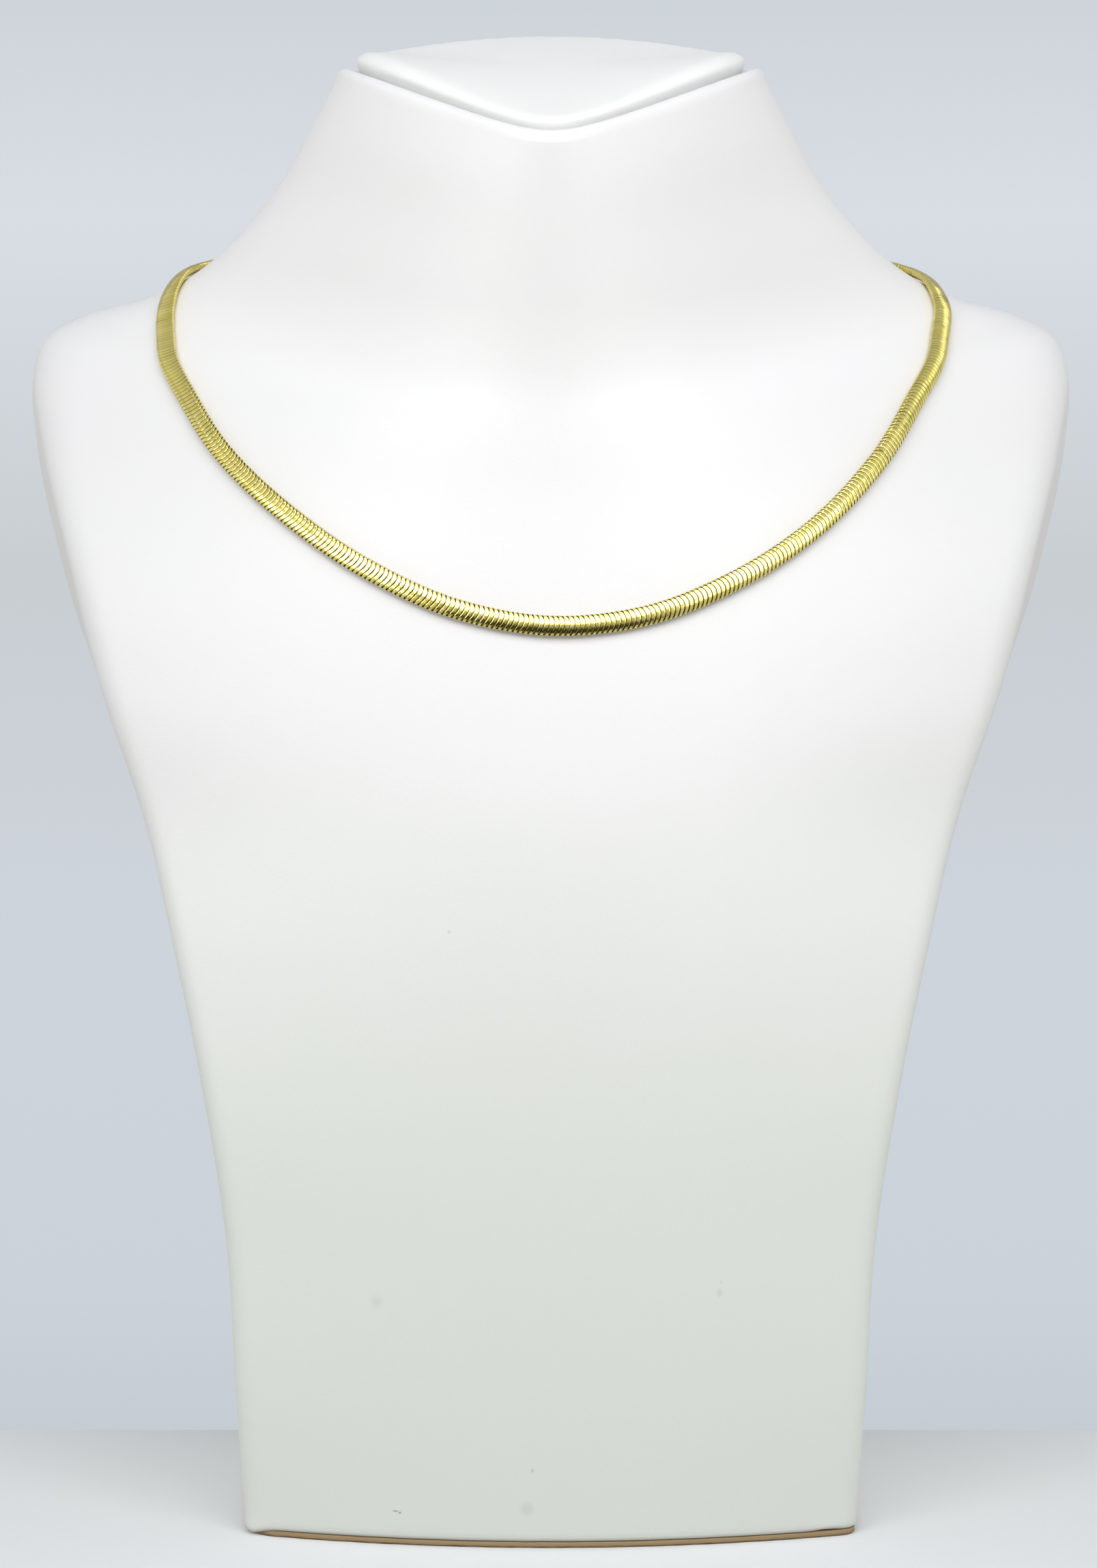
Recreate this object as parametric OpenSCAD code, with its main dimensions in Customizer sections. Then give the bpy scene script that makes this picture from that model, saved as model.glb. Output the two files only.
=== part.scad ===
// Snake chain necklace on a leatherette neck bust.
// Millimetres, +Z up, front towards -Y. The origin is on the floor under the middle of the bust.

/* [Bust] */
// Thickness of the board under the bust
board_t = 1.2; // [0.8:0.1:3]
// How far the collar rim rolls inwards before it dips to the pad
rim_w = 4; // [3:0.1:5]
// Height of the rolled collar rim over the top section
rim_h = 2.5; // [1.5:0.1:3]
// How far the pad's edge stands over the collar rim
pad_h = 3.9; // [2:0.1:5]
// How much higher the middle of the pad is than a flat one
pad_crown = 1; // [0:0.1:3]

/* [Chain] */
// Width of the chain across its flat side
chain_w = 4.2; // [3:0.1:5]
// Thickness of the chain off the bust
chain_t = 1.9; // [1.5:0.1:3]
// Clear gap between the chain and the bust
chain_gap = 0.25; // [0.2:0.05:0.6]

/* [Clasp] */
// Length of each end cap
cap_l = 5; // [4:0.5:8]
// Distance from the middle of the clasp to the chain on each side
clasp_reach = 14; // [13:0.5:16]
// Thickness of the lobster clasp
hook_t = 1.8; // [1.4:0.1:2.4]
// Radius of the ring that the lobster clasp holds, to the middle of its wire
ring_r = 1.7; // [1.5:0.1:2]

/* [Mesh] */
// Steps across the front face, per side
front_steps = 9; // [6:1:14]
// Steps round each corner
corner_steps = 5; // [4:1:8]
// Steps across the back, per side
back_steps = 6; // [5:1:12]
// Sides of the chain's tube
tube_sides = 12; // [8:2:12]

/* [Hidden] */

// Gap between pieces that lie on each other
seam = 0.1;
// Where the bust starts, over the board
BASE_Z = board_t + seam;
// A rounded edge takes at most this part of the side wall
CORNER_SHARE = 0.47;
// Gap between the pad's side and the collar rim
pad_gap = 0.3;
// Steps along the side wall, per side
wall_steps = 2;
// Tab on each end cap
tab_l = 2;
tab_w = 2;
tab_t = 1;
// Wire of the clasp's ring
wire_r = 0.45;
// Nose, eye and tail of the lobster clasp
nose_r = 2.4;
eye_r = 1.3;
tail_r = 1.2;

// Sections of the bust, one row for each, from the board up to the collar, by distance along it.
// Each section is a closed ring: a bowed front face, a rounded edge, a side wall that leans out
// to the back by flare, a second rounded edge and a bowed back.
// Upper rings dip from their edge, which climbs over the shoulder, to the chest and the back.
// pointed: 3 is a plain bow across the front, 0.2 is nearly the V of the collar.
HALF_W = 1;
FLARE = 2;
EDGE_Z = 3;
FRONT_Z = 4;
BACK_Z = 5;
FRONT_Y = 6;
FRONT_C = 7;
BACK_C = 8;
BACK_Y = 9;
FRONT_R = 10;
BACK_R = 11;
POINTED = 12;
SECTIONS = [
    // along half_w flare edge_z front_z back_z front_y front_c back_c back_y front_r back_r pointed
    [0, 64, 0.5, BASE_Z, BASE_Z, BASE_Z, -65.5, -53.5, 34.5, 42.5, 4, 6, 3],
    [30, 66, 0.5, 30, 30, 30, -65.2, -53, 34.5, 42.5, 4, 6, 3],
    [60, 68.3, 1, 60, 60, 60, -64.5, -51, 35, 43.5, 4, 6, 3],
    [90, 73, 1, 90, 90, 90, -63.2, -47.5, 35.5, 44.5, 4, 6, 3],
    [120, 80.4, 2, 120, 120, 120, -60.8, -40.5, 37, 46.5, 4, 6, 3],
    [148, 88, 3, 146.3, 147, 145.9, -57, -31.5, 39.5, 50.5, 4, 6, 3],
    [176, 101, 6.5, 173.4, 172, 174.1, -51.5, -22.5, 42.5, 54.5, 5, 7, 3],
    [205, 109.8, 7.5, 200.6, 197, 203.4, -45, -8.5, 45.5, 58.5, 6, 8, 2.2],
    [227, 114.5, 5.5, 222.9, 215, 224.7, -40.5, 12.5, 48.5, 62, 8, 10, 1.2],
    [241, 115.3, 3.5, 237, 225.5, 237, -38.3, 25.5, 51.5, 64.5, 10, 12, 0.8],
    [252, 111.7, 2, 245.6, 231.5, 244.1, -37.1, 32.5, 53.5, 65.5, 11, 12.5, 0.6],
    [262, 103.1, 1, 250.2, 236, 249.3, -36.3, 36.5, 54.5, 65.5, 12, 13.5, 0.5],
    [276, 88.3, 0.5, 254.4, 243, 254.9, -35.5, 31.5, 52.5, 65, 14, 14.5, 0.5],
    [289, 76.2, 0, 260.6, 250, 262.1, -35.1, 23.5, 48.5, 63.5, 16, 15.5, 0.5],
    [302, 66.6, 0, 269.4, 258, 271.4, -35, 15.5, 44.5, 62, 18, 16.5, 0.5],
    [316, 58.2, 0, 279.6, 267.5, 283.8, -35, 8.5, 40.5, 61, 20, 17, 0.45],
    [330, 51.4, 0, 291.3, 278.3, 295.1, -35, 1.5, 37.5, 60, 20, 17, 0.35],
    [343, 46.2, 0, 300.9, 287.3, 305.3, -35, -3.5, 34.5, 59.5, 20, 17, 0.2],
];
TOP = 343;

// Where the rings of the bust's mesh are, as distances along the table above
RING_AT = concat([for (a = [0:12:192]) a], [for (a = [200:5:340]) a], [TOP]);

// The collar rim, from the top ring: the parts of its width inwards and of its height upwards
RIM = [[0.1, 0.55], [0.3, 0.9], [0.57, 1], [0.82, 0.8], [0.95, 0.4], [1, 0.1]];
// The well inside the rim: its height as a part of the rim's, and its rings as parts of its size
WELL_Z = 0.1;
WELL_AT = [0.75, 0.5, 0.25];
// The pad's rounded edge: inwards, and the part of its height
PAD_EDGE = [[0, 0.5], [0.3, 0.72], [0.9, 0.88], [1.7, 0.97], [2.6, 1]];
// Rings of the pad's top as parts of its size
CROWN_AT = [0.8, 0.6, 0.4, 0.2];
// Middle of the collar, seen from above
HUB = [0, 12];

// The chain's way round the bust, one row for each point that it passes.
// travel is the distance from the lowest point, section is the one it crosses, and
// round is the part of the way from the front middle (0) to the back middle (1 or -1).
SECTION = 1;
ROUND = 2;
ROUTE = [
    // travel section round
    [-247.5, 304, -1],
    [-231, 302.6, -0.92],
    [-214.5, 299.3, -0.84],
    [-198, 295.5, -0.76],
    [-181.5, 291.5, -0.68],
    [-165, 287.5, -0.6],
    [-150.5, 283, -0.531],
    [-141, 274.6, -0.477],
    [-128.5, 260.2, -0.4005],
    [-113.5, 249, -0.3445],
    [-86, 231.2, -0.27],
    [-62, 218.1, -0.203],
    [-40.5, 207.2, -0.139],
    [-20, 198.6, -0.072],
    [0, 194.8, 0],
    [20, 197, 0.073],
    [40.5, 204.6, 0.141],
    [62, 215.3, 0.205],
    [85.5, 229.2, 0.268],
    [112.5, 246.9, 0.3375],
    [128, 257.9, 0.393],
    [142, 271.2, 0.469],
    [148.5, 278, 0.51],
    [168, 286.5, 0.6],
    [184.5, 291, 0.68],
    [201, 295.3, 0.76],
    [217.5, 299.3, 0.84],
    [234, 302.6, 0.92],
    [250.5, 304, 1],
];
ROUTE_START = ROUTE[0][0];
ROUTE_END = ROUTE[len(ROUTE) - 1][0];
// The chain bends most where it crosses the shoulders, so its rings are closer there
BEND_FROM = 100;
BEND_TO = 170;
FLAT_STEP = 7.4;
BEND_STEP = 3.8;
// Steps of a section that the chain is laid on: front, corner, wall and back
FINE = [24, 12, 4, 16];
// How far to each side the surface's slope and the chain's direction are taken
NEAR_ALONG = 1;
NEAR_ROUND = 0.006;
NEAR_TRAVEL = 0.5;
// The chain's outline is an ellipse with its sides filled out to this power
FULLNESS = 0.85;

// Row of a table at a distance, on a smooth curve through the rows

function secant(rows, i) = (rows[i + 1] - rows[i]) / (rows[i + 1][0] - rows[i][0]);

function tangent(rows, i) =
    i == 0 ? secant(rows, 0)
    : i == len(rows) - 1 ? secant(rows, i - 1)
    : let (before = rows[i][0] - rows[i - 1][0], after = rows[i + 1][0] - rows[i][0])
        (secant(rows, i - 1) * after + secant(rows, i) * before) / (before + after);

function span_of(rows, at, i = 0) =
    i >= len(rows) - 2 || at < rows[i + 1][0] ? i : span_of(rows, at, i + 1);

function row_at(rows, at) =
    let (i = span_of(rows, at), h = rows[i + 1][0] - rows[i][0], t = (at - rows[i][0]) / h)
    rows[i] * (2 * t * t * t - 3 * t * t + 1) + tangent(rows, i) * h * (t * t * t - 2 * t * t + t)
    + rows[i + 1] * (3 * t * t - 2 * t * t * t) + tangent(rows, i + 1) * h * (t * t * t - t * t);

// Rise of the front bow from 0 in the middle to 1 at the edge, as a hyperbola, and its slope
function bow(u, pointed) =
    (sqrt(u * u + pointed * pointed) - pointed) / (sqrt(1 + pointed * pointed) - pointed);
function bow_slope(u, pointed) =
    u / sqrt(u * u + pointed * pointed) / (sqrt(1 + pointed * pointed) - pointed);

// Point of a corner that is rounded from a to b round the corner point k
function turn(a, k, b, t) = (1 - t) * (1 - t) * a + 2 * t * (1 - t) * k + t * t * b;

// Right half of one section, from the front middle round to the back middle
function half_section(c, front_n, corner_n, wall_n, back_n) =
    let (
        half_w = c[HALF_W],
        face_w = half_w - c[FLARE],
        front_rise = c[FRONT_C] - c[FRONT_Y],
        back_rise = c[BACK_Y] - c[BACK_C],
        lean = c[FLARE] / (c[BACK_C] - c[FRONT_C]),
        // the front face ends at a, and its tangent meets the side wall at k
        ax = face_w - c[FRONT_R],
        ay = c[FRONT_Y] + front_rise * bow(ax / face_w, c[POINTED]),
        a_slope = front_rise * bow_slope(ax / face_w, c[POINTED]) / face_w,
        kx = (face_w + lean * (ay - a_slope * ax - c[FRONT_C])) / (1 - lean * a_slope),
        ky = ay + a_slope * (kx - ax),
        // the back face ends at d, and its tangent meets the side wall at m
        dx = half_w - c[BACK_R],
        dy = c[BACK_Y] - back_rise * pow(dx / half_w, 2),
        d_slope = -2 * back_rise * dx / pow(half_w, 2),
        mx = (face_w + lean * (dy - d_slope * dx - c[FRONT_C])) / (1 - lean * d_slope),
        my = dy + d_slope * (mx - dx),
        // straight stretch of the side wall, from b to e
        by = ky + min(c[FRONT_R], CORNER_SHARE * (my - ky)),
        ey = my - min(c[BACK_R], CORNER_SHARE * (my - ky)),
        bx = face_w + lean * (by - c[FRONT_C]),
        ex = face_w + lean * (ey - c[FRONT_C]),
        front = concat(
            [for (i = [0:front_n - 1])
                let (x = ax * i / front_n)
                [x, c[FRONT_Y] + front_rise * bow(x / face_w, c[POINTED])]],
            [for (i = [0:corner_n - 1]) turn([ax, ay], [kx, ky], [bx, by], i / corner_n)]),
        side = [for (i = [0:wall_n - 1]) [bx, by] + ([ex, ey] - [bx, by]) * i / wall_n],
        back = concat(
            [for (i = [0:corner_n - 1]) turn([ex, ey], [mx, my], [dx, dy], i / corner_n)],
            [for (i = [0:back_n])
                let (x = dx * (1 - i / back_n))
                [x, c[BACK_Y] - back_rise * pow(x / half_w, 2)]])
    )
    concat(
        [for (p = front)
            let (climb = bow(min(p.x / bx, 1), c[POINTED]))
            [p.x, p.y, c[FRONT_Z] + (c[EDGE_Z] - c[FRONT_Z]) * climb]],
        [for (p = side) [p.x, p.y, c[EDGE_Z]]],
        [for (p = back)
            let (climb = pow(min(p.x / ex, 1), 2))
            [p.x, p.y, c[BACK_Z] + (c[EDGE_Z] - c[BACK_Z]) * climb]]);

// Whole ring, from its right half
function whole(half) =
    concat(half, [for (i = [len(half) - 2:-1:1]) [-half[i].x, half[i].y, half[i].z]]);

function ring_at(a) =
    whole(half_section(row_at(SECTIONS, a), front_steps, corner_steps, wall_steps, back_steps));

// A ring moved inwards to the middle of the collar and up
function drawn_in(ring, inwards, up) =
    [for (p = ring)
        let (to_hub = HUB - [p.x, p.y], move = to_hub / norm(to_hub) * inwards)
        [p.x + move.x, p.y + move.y, p.z + up]];

// Height of the tilted plane through the collar's front tip and back
function collar_plane(y) =
    let (c = SECTIONS[len(SECTIONS) - 1])
    c[FRONT_Z] + (c[BACK_Z] - c[FRONT_Z]) * (y - c[FRONT_Y]) / (c[BACK_Y] - c[FRONT_Y]);

// A ring shrunk to the middle of the collar on a smooth saddle, and raised by lift
function shrunk(ring, k, lift) =
    [for (p = ring)
        let (q = HUB + ([p.x, p.y] - HUB) * k)
        [q.x, q.y, collar_plane(q.y) + (p.z - collar_plane(p.y)) * k * k + lift]];

// Triangles over stacked rings of n points, with a fan to one point at each end
function skin_faces(ring_n, n) =
    concat(
        [for (r = [0:ring_n - 2], i = [0:n - 1], half = [0, 1])
            let (a = r * n + i, b = r * n + (i + 1) % n)
            half == 0 ? [a, b + n, b] : [a, a + n, b + n]],
        [for (i = [0:n - 1]) [ring_n * n, i, (i + 1) % n]],
        [for (i = [0:n - 1]) [ring_n * n + 1, (ring_n - 1) * n + (i + 1) % n, (ring_n - 1) * n + i]]);

module skin(rings, first, last) {
    polyhedron(
        points = concat([for (ring = rings, p = ring) p], [first, last]),
        faces = skin_faces(len(rings), len(rings[0])));
}

// Distance travelled at each point of an open line
function run_lengths(line) =
    [for (
        i = 0, s = 0;
        i < len(line);
        i = i + 1, s = i < len(line) ? s + norm(line[i] - line[i - 1]) : s) s];

// Point of a line at a part of its length
function part_way(line, runs, part) =
    let (want = part * runs[len(runs) - 1])
    [for (k = [0:2]) lookup(want, [for (i = [0:len(line) - 1]) [runs[i], line[i][k]]])];

// Point of the bust's surface at a section and a part of the way round
function on_bust(a, part) =
    let (
        line = half_section(row_at(SECTIONS, a), FINE[0], FINE[1], FINE[2], FINE[3]),
        p = part_way(line, run_lengths(line), abs(part))
    )
    [part < 0 ? -p.x : p.x, p.y, p.z];

function unit(v) = v / norm(v);

// The chain's middle line, lifted off the bust along the surface's normal, and that normal
function lift_at(travel) =
    let (
        row = row_at(ROUTE, travel),
        a = row[SECTION],
        r = row[ROUND],
        up = on_bust(a + NEAR_ALONG, r) - on_bust(a - NEAR_ALONG, r),
        sideways = on_bust(a, r + NEAR_ROUND) - on_bust(a, r - NEAR_ROUND),
        normal = unit(cross(sideways, up))
    )
    [on_bust(a, r) + normal * (chain_t / 2 + chain_gap), normal];

// Middle, direction, normal and width direction of the chain at a distance
function frame_at(travel) =
    let (
        here = lift_at(travel),
        after = lift_at(min(travel + NEAR_TRAVEL, ROUTE_END))[0],
        before = lift_at(max(travel - NEAR_TRAVEL, ROUTE_START))[0],
        ahead = unit(after - before),
        normal = unit(here[1] - ahead * (here[1] * ahead))
    )
    [here[0], ahead, normal, cross(ahead, normal)];

// Oval outline of the chain, as parts of its half width and half thickness
function oval(i) =
    let (a = 360 * i / tube_sides)
    [sign(cos(a)) * pow(abs(cos(a)), FULLNESS), sign(sin(a)) * pow(abs(sin(a)), FULLNESS)];

function tube_ring(travel) =
    let (f = frame_at(travel))
    [for (i = [0:tube_sides - 1])
        f[0] + f[3] * oval(i).x * chain_w / 2 + f[2] * oval(i).y * chain_t / 2];

// Even steps from one distance up to another, without the last
function steps(from, to, step) =
    let (n = ceil((to - from) / step))
    [for (i = [0:n - 1]) from + (to - from) * i / n];

CHAIN_FROM = ROUTE_START + clasp_reach;
CHAIN_TO = ROUTE_END - clasp_reach;
CHAIN_AT = concat(
    steps(CHAIN_FROM, -BEND_TO, FLAT_STEP),
    steps(-BEND_TO, -BEND_FROM, BEND_STEP),
    steps(-BEND_FROM, BEND_FROM, FLAT_STEP),
    steps(BEND_FROM, BEND_TO, BEND_STEP),
    steps(BEND_TO, CHAIN_TO, FLAT_STEP),
    [CHAIN_TO]);

// Places its children in the chain's frame: X along, Y across the width, Z off the bust
module on_route(travel) {
    f = frame_at(travel);
    multmatrix([
        [f[1].x, -f[3].x, f[2].x, f[0].x],
        [f[1].y, -f[3].y, f[2].y, f[0].y],
        [f[1].z, -f[3].z, f[2].z, f[0].z],
        [0, 0, 0, 1],
    ]) children();
}

module bust_body() {
    top = ring_at(TOP);
    well = drawn_in(top, rim_w, 0);
    well_z = WELL_Z * rim_h;
    rings = concat(
        [for (a = RING_AT) ring_at(a)],
        [for (r = RIM) drawn_in(top, r[0] * rim_w, r[1] * rim_h)],
        [for (k = WELL_AT) shrunk(well, k, well_z)]);
    color("whitesmoke")
        skin(rings, [HUB.x, HUB.y, BASE_Z], [HUB.x, HUB.y, collar_plane(HUB.y) + well_z]);
}

// Pad let into the collar, with a rounded edge and a crowned top
module neck_cap() {
    floor_z = WELL_Z * rim_h + 2 * seam;
    top_z = rim_h + pad_h;
    edge = drawn_in(ring_at(TOP), rim_w + pad_gap, 0);
    crest = drawn_in(edge, PAD_EDGE[len(PAD_EDGE) - 1][0], 0);
    rings = concat(
        [for (i = [len(WELL_AT) - 1:-1:0]) shrunk(edge, WELL_AT[i], floor_z)],
        [drawn_in(edge, 0, floor_z)],
        [for (r = PAD_EDGE) drawn_in(edge, r[0], r[1] * top_z)],
        [for (k = CROWN_AT) shrunk(crest, k, top_z + pad_crown * (1 - k * k))]);
    color("white")
        skin(rings, [HUB.x, HUB.y, collar_plane(HUB.y) + floor_z],
            [HUB.x, HUB.y, collar_plane(HUB.y) + top_z + pad_crown]);
}

module base_board() {
    color("saddlebrown")
        linear_extrude(height = board_t)
            polygon([for (p = ring_at(0)) [p.x, p.y]]);
}

module snake_chain() {
    color("gold")
        skin([for (t = CHAIN_AT) tube_ring(t)], frame_at(CHAIN_FROM)[0], frame_at(CHAIN_TO)[0]);
}

// End cap of the chain, from its open end, with the tab that holds it to the clasp
module end_cap() {
    cap_r = chain_t / 2 + seam;
    flat = (chain_w - chain_t) / 2;
    rotate([90, 0, 90])
        linear_extrude(height = cap_l)
            union() {
                translate([-flat, 0]) circle(r = cap_r, $fn = 48);
                translate([flat, 0]) circle(r = cap_r, $fn = 48);
                square([2 * flat, 2 * cap_r], center = true);
            }
    translate([cap_l - tab_t / 2, -tab_w / 2, -tab_t / 2])
        cube([tab_l + tab_t / 2, tab_w, tab_t]);
}

// Lobster clasp seen flat: a nose with a hole, and a body that narrows to its tab
module hook_outline(nose_x, tail_x) {
    difference() {
        hull() {
            translate([nose_x, 0]) circle(r = nose_r, $fn = 48);
            translate([tail_x, 0]) circle(r = tail_r, $fn = 48);
        }
        translate([nose_x, 0]) circle(r = eye_r, $fn = 48);
    }
}

// Plain clasp at the nape, all one piece: two end caps, a ring and a lobster clasp through it
module clasp() {
    tab_end = clasp_reach - cap_l - tab_l;
    ring_x = tab_end - ring_r;
    color("gold")
        union() {
            on_route(CHAIN_TO + seam) end_cap();
            on_route(CHAIN_FROM - seam) mirror([1, 0, 0]) end_cap();
            on_route(ROUTE_START)
                translate([ring_x, 0, 0])
                    rotate_extrude($fn = 48)
                        translate([ring_r, 0]) circle(r = wire_r, $fn = 24);
            on_route(ROUTE_START)
                translate([0, 0, -hook_t / 2])
                    linear_extrude(height = hook_t)
                        hook_outline(ring_x - ring_r - eye_r + wire_r, -tab_end - wire_r + tail_r);
        }
}

bust_body();
neck_cap();
base_board();
snake_chain();
clasp();
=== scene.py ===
"""Snake chain necklace on a leatherette neck bust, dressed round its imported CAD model.

+Z up, front towards -Y, origin on the floor under the middle of the bust. Shapes are worked out in
millimetres, as in the part's source, and each mesh is turned to metres when it is made.
"""

import logging
import math
from dataclasses import dataclass
from enum import Enum

import bpy
import numpy as np
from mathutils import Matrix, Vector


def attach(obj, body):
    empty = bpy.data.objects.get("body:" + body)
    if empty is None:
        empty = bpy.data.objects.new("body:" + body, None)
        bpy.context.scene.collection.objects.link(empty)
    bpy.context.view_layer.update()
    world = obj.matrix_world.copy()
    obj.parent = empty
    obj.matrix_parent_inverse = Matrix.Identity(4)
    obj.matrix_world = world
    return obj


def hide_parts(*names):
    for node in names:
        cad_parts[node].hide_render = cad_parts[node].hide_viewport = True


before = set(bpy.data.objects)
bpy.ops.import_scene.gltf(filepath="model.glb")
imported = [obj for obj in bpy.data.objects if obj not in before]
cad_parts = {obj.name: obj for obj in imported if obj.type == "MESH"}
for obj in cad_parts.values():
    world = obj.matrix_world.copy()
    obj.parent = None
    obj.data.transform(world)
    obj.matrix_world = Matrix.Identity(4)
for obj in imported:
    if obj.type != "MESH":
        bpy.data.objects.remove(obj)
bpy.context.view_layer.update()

MM = 0.001
LOG = logging.getLogger("snake_chain")

Array = np.ndarray
Point = tuple[float, float, float]
Pair = tuple[float, float]
Stops = tuple[tuple[float, str], ...]
Material = bpy.types.Material
Tree = bpy.types.NodeTree
Node = bpy.types.Node
Socket = bpy.types.NodeSocket
Piece = bpy.types.Object
Settings = dict[str | int, object]
Links = dict[str | int, Node | Socket]

# Inputs of a Map Range node, in the order in which its values are given
RANGE = ("From Min", "From Max", "To Min", "To Max")
# Inputs of a Mix node of colours, by number, because its inputs for plain values have the same names
SHARE, UNDER, OVER = 0, 6, 7
# Where most of a noise's values lie
NOISE_SPAN = (0.3, 0.7)


class Slot(Enum):
    """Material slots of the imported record."""

    LEATHERETTE = "leatherette"
    BOARD = "board"
    GOLD = "gold"


def linear(hex_colour: str) -> tuple[float, float, float, float]:
    """Turns a colour to the values that Blender works with.

    Args:
        hex_colour: An sRGB hex colour.

    Returns:
        Linear red, green and blue, and a full alpha.
    """
    parts = [int(hex_colour[i : i + 2], 16) / 255 for i in (1, 3, 5)]
    lit = [p / 12.92 if p <= 0.04045 else ((p + 0.055) / 1.055) ** 2.4 for p in parts]
    return (lit[0], lit[1], lit[2], 1.0)


def feed(tree: Tree, node: Node, settings: Settings, links: Links) -> Node:
    """Sets a node's values and links what feeds it.

    Args:
        tree: The node's tree.
        node: The node.
        settings: Values by the name of the node's own setting, or by the name or number of an input.
            Under "stops", the places from 0 to 1 and the sRGB hex colours of a ramp.
        links: What feeds an input, by its name or number: a socket, or a node, by its first live output.

    Returns:
        The node.
    """
    for key, value in settings.items():
        if key == "stops":
            elements = node.color_ramp.elements
            elements[0].color, elements[1].color = linear(value[0][1]), linear(value[-1][1])
            for place, colour in value[1:-1]:
                elements.new(place).color = linear(colour)
        elif isinstance(key, str) and key in node.bl_rna.properties:
            setattr(node, key, value)
        else:
            node.inputs[key].default_value = value
    for key, source in links.items():
        if isinstance(source, Node):
            source = next(socket for socket in source.outputs if socket.enabled)
        tree.links.new(source, node.inputs[key])
    return node


def add_node(tree: Tree, kind: str, settings: Settings | None = None, links: Links | None = None) -> Node:
    """Adds a shader node, named without its "ShaderNode", with its settings and links."""
    return feed(tree, tree.nodes.new("ShaderNode" + kind), settings or {}, links or {})


def new_material(name: str) -> tuple[Material, Tree, Node]:
    """Makes a material.

    Args:
        name: Its name.

    Returns:
        The material, its node tree and its Principled shader.
    """
    material = bpy.data.materials.new(name)
    material.use_nodes = True
    tree = material.node_tree
    return material, tree, tree.nodes["Principled BSDF"]


def ellipsoid_fade(
    tree: Tree, place: Socket, middle: Point, reach: Point, core: float, values: Pair
) -> Node:
    """Adds a value that changes, by a smooth step, from the inside of an ellipsoid to its outside.

    Args:
        tree: The tree that it goes into.
        place: Coordinates.
        middle: The ellipsoid's middle.
        reach: Its half sizes.
        core: The part of its half sizes within which nothing changes.
        values: The value inside and the value outside.

    Returns:
        The node that gives the value.
    """
    away = add_node(tree, "VectorMath", {"operation": "SUBTRACT", 1: middle}, {0: place})
    parts = {"operation": "MULTIPLY", 1: [1 / r for r in reach]}
    scaled = add_node(tree, "VectorMath", parts, {0: away})
    distance = add_node(tree, "VectorMath", {"operation": "LENGTH"}, {0: scaled})
    step = {"interpolation_type": "SMOOTHSTEP", **dict(zip(RANGE, (core, 1.0, *values)))}
    return add_node(tree, "MapRange", step, {"Value": distance})


@dataclass(frozen=True)
class Relief:
    """Fine relief of a finish: its depth in mm, how strong it is, and what it does to the roughness."""

    depth_mm: float
    strength: float
    smoother: float
    rougher: float

    def add(self, tree: Tree, shader: Node, height: Node, noise: Node, roughness: float) -> None:
        """Adds the relief as a bump, and a roughness that follows a noise.

        Args:
            tree: The material's tree.
            shader: Its shader.
            height: What gives the relief's height.
            noise: The noise.
            roughness: The roughness in the middle of the noise.
        """
        relief = {"Strength": self.strength, "Distance": self.depth_mm * MM}
        bump = add_node(tree, "Bump", relief, {"Height": height})
        rough = dict(zip(RANGE, (*NOISE_SPAN, roughness - self.smoother, roughness + self.rougher)))
        gloss = add_node(tree, "MapRange", rough, {"Value": noise})
        feed(tree, shader, {}, {"Normal": bump, "Roughness": gloss})


@dataclass(frozen=True)
class Mark:
    """A small stain or scuff on the leatherette: its middle and half sizes in mm, and how strong it is."""

    middle: Point
    reach: Point
    strength: float


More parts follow.
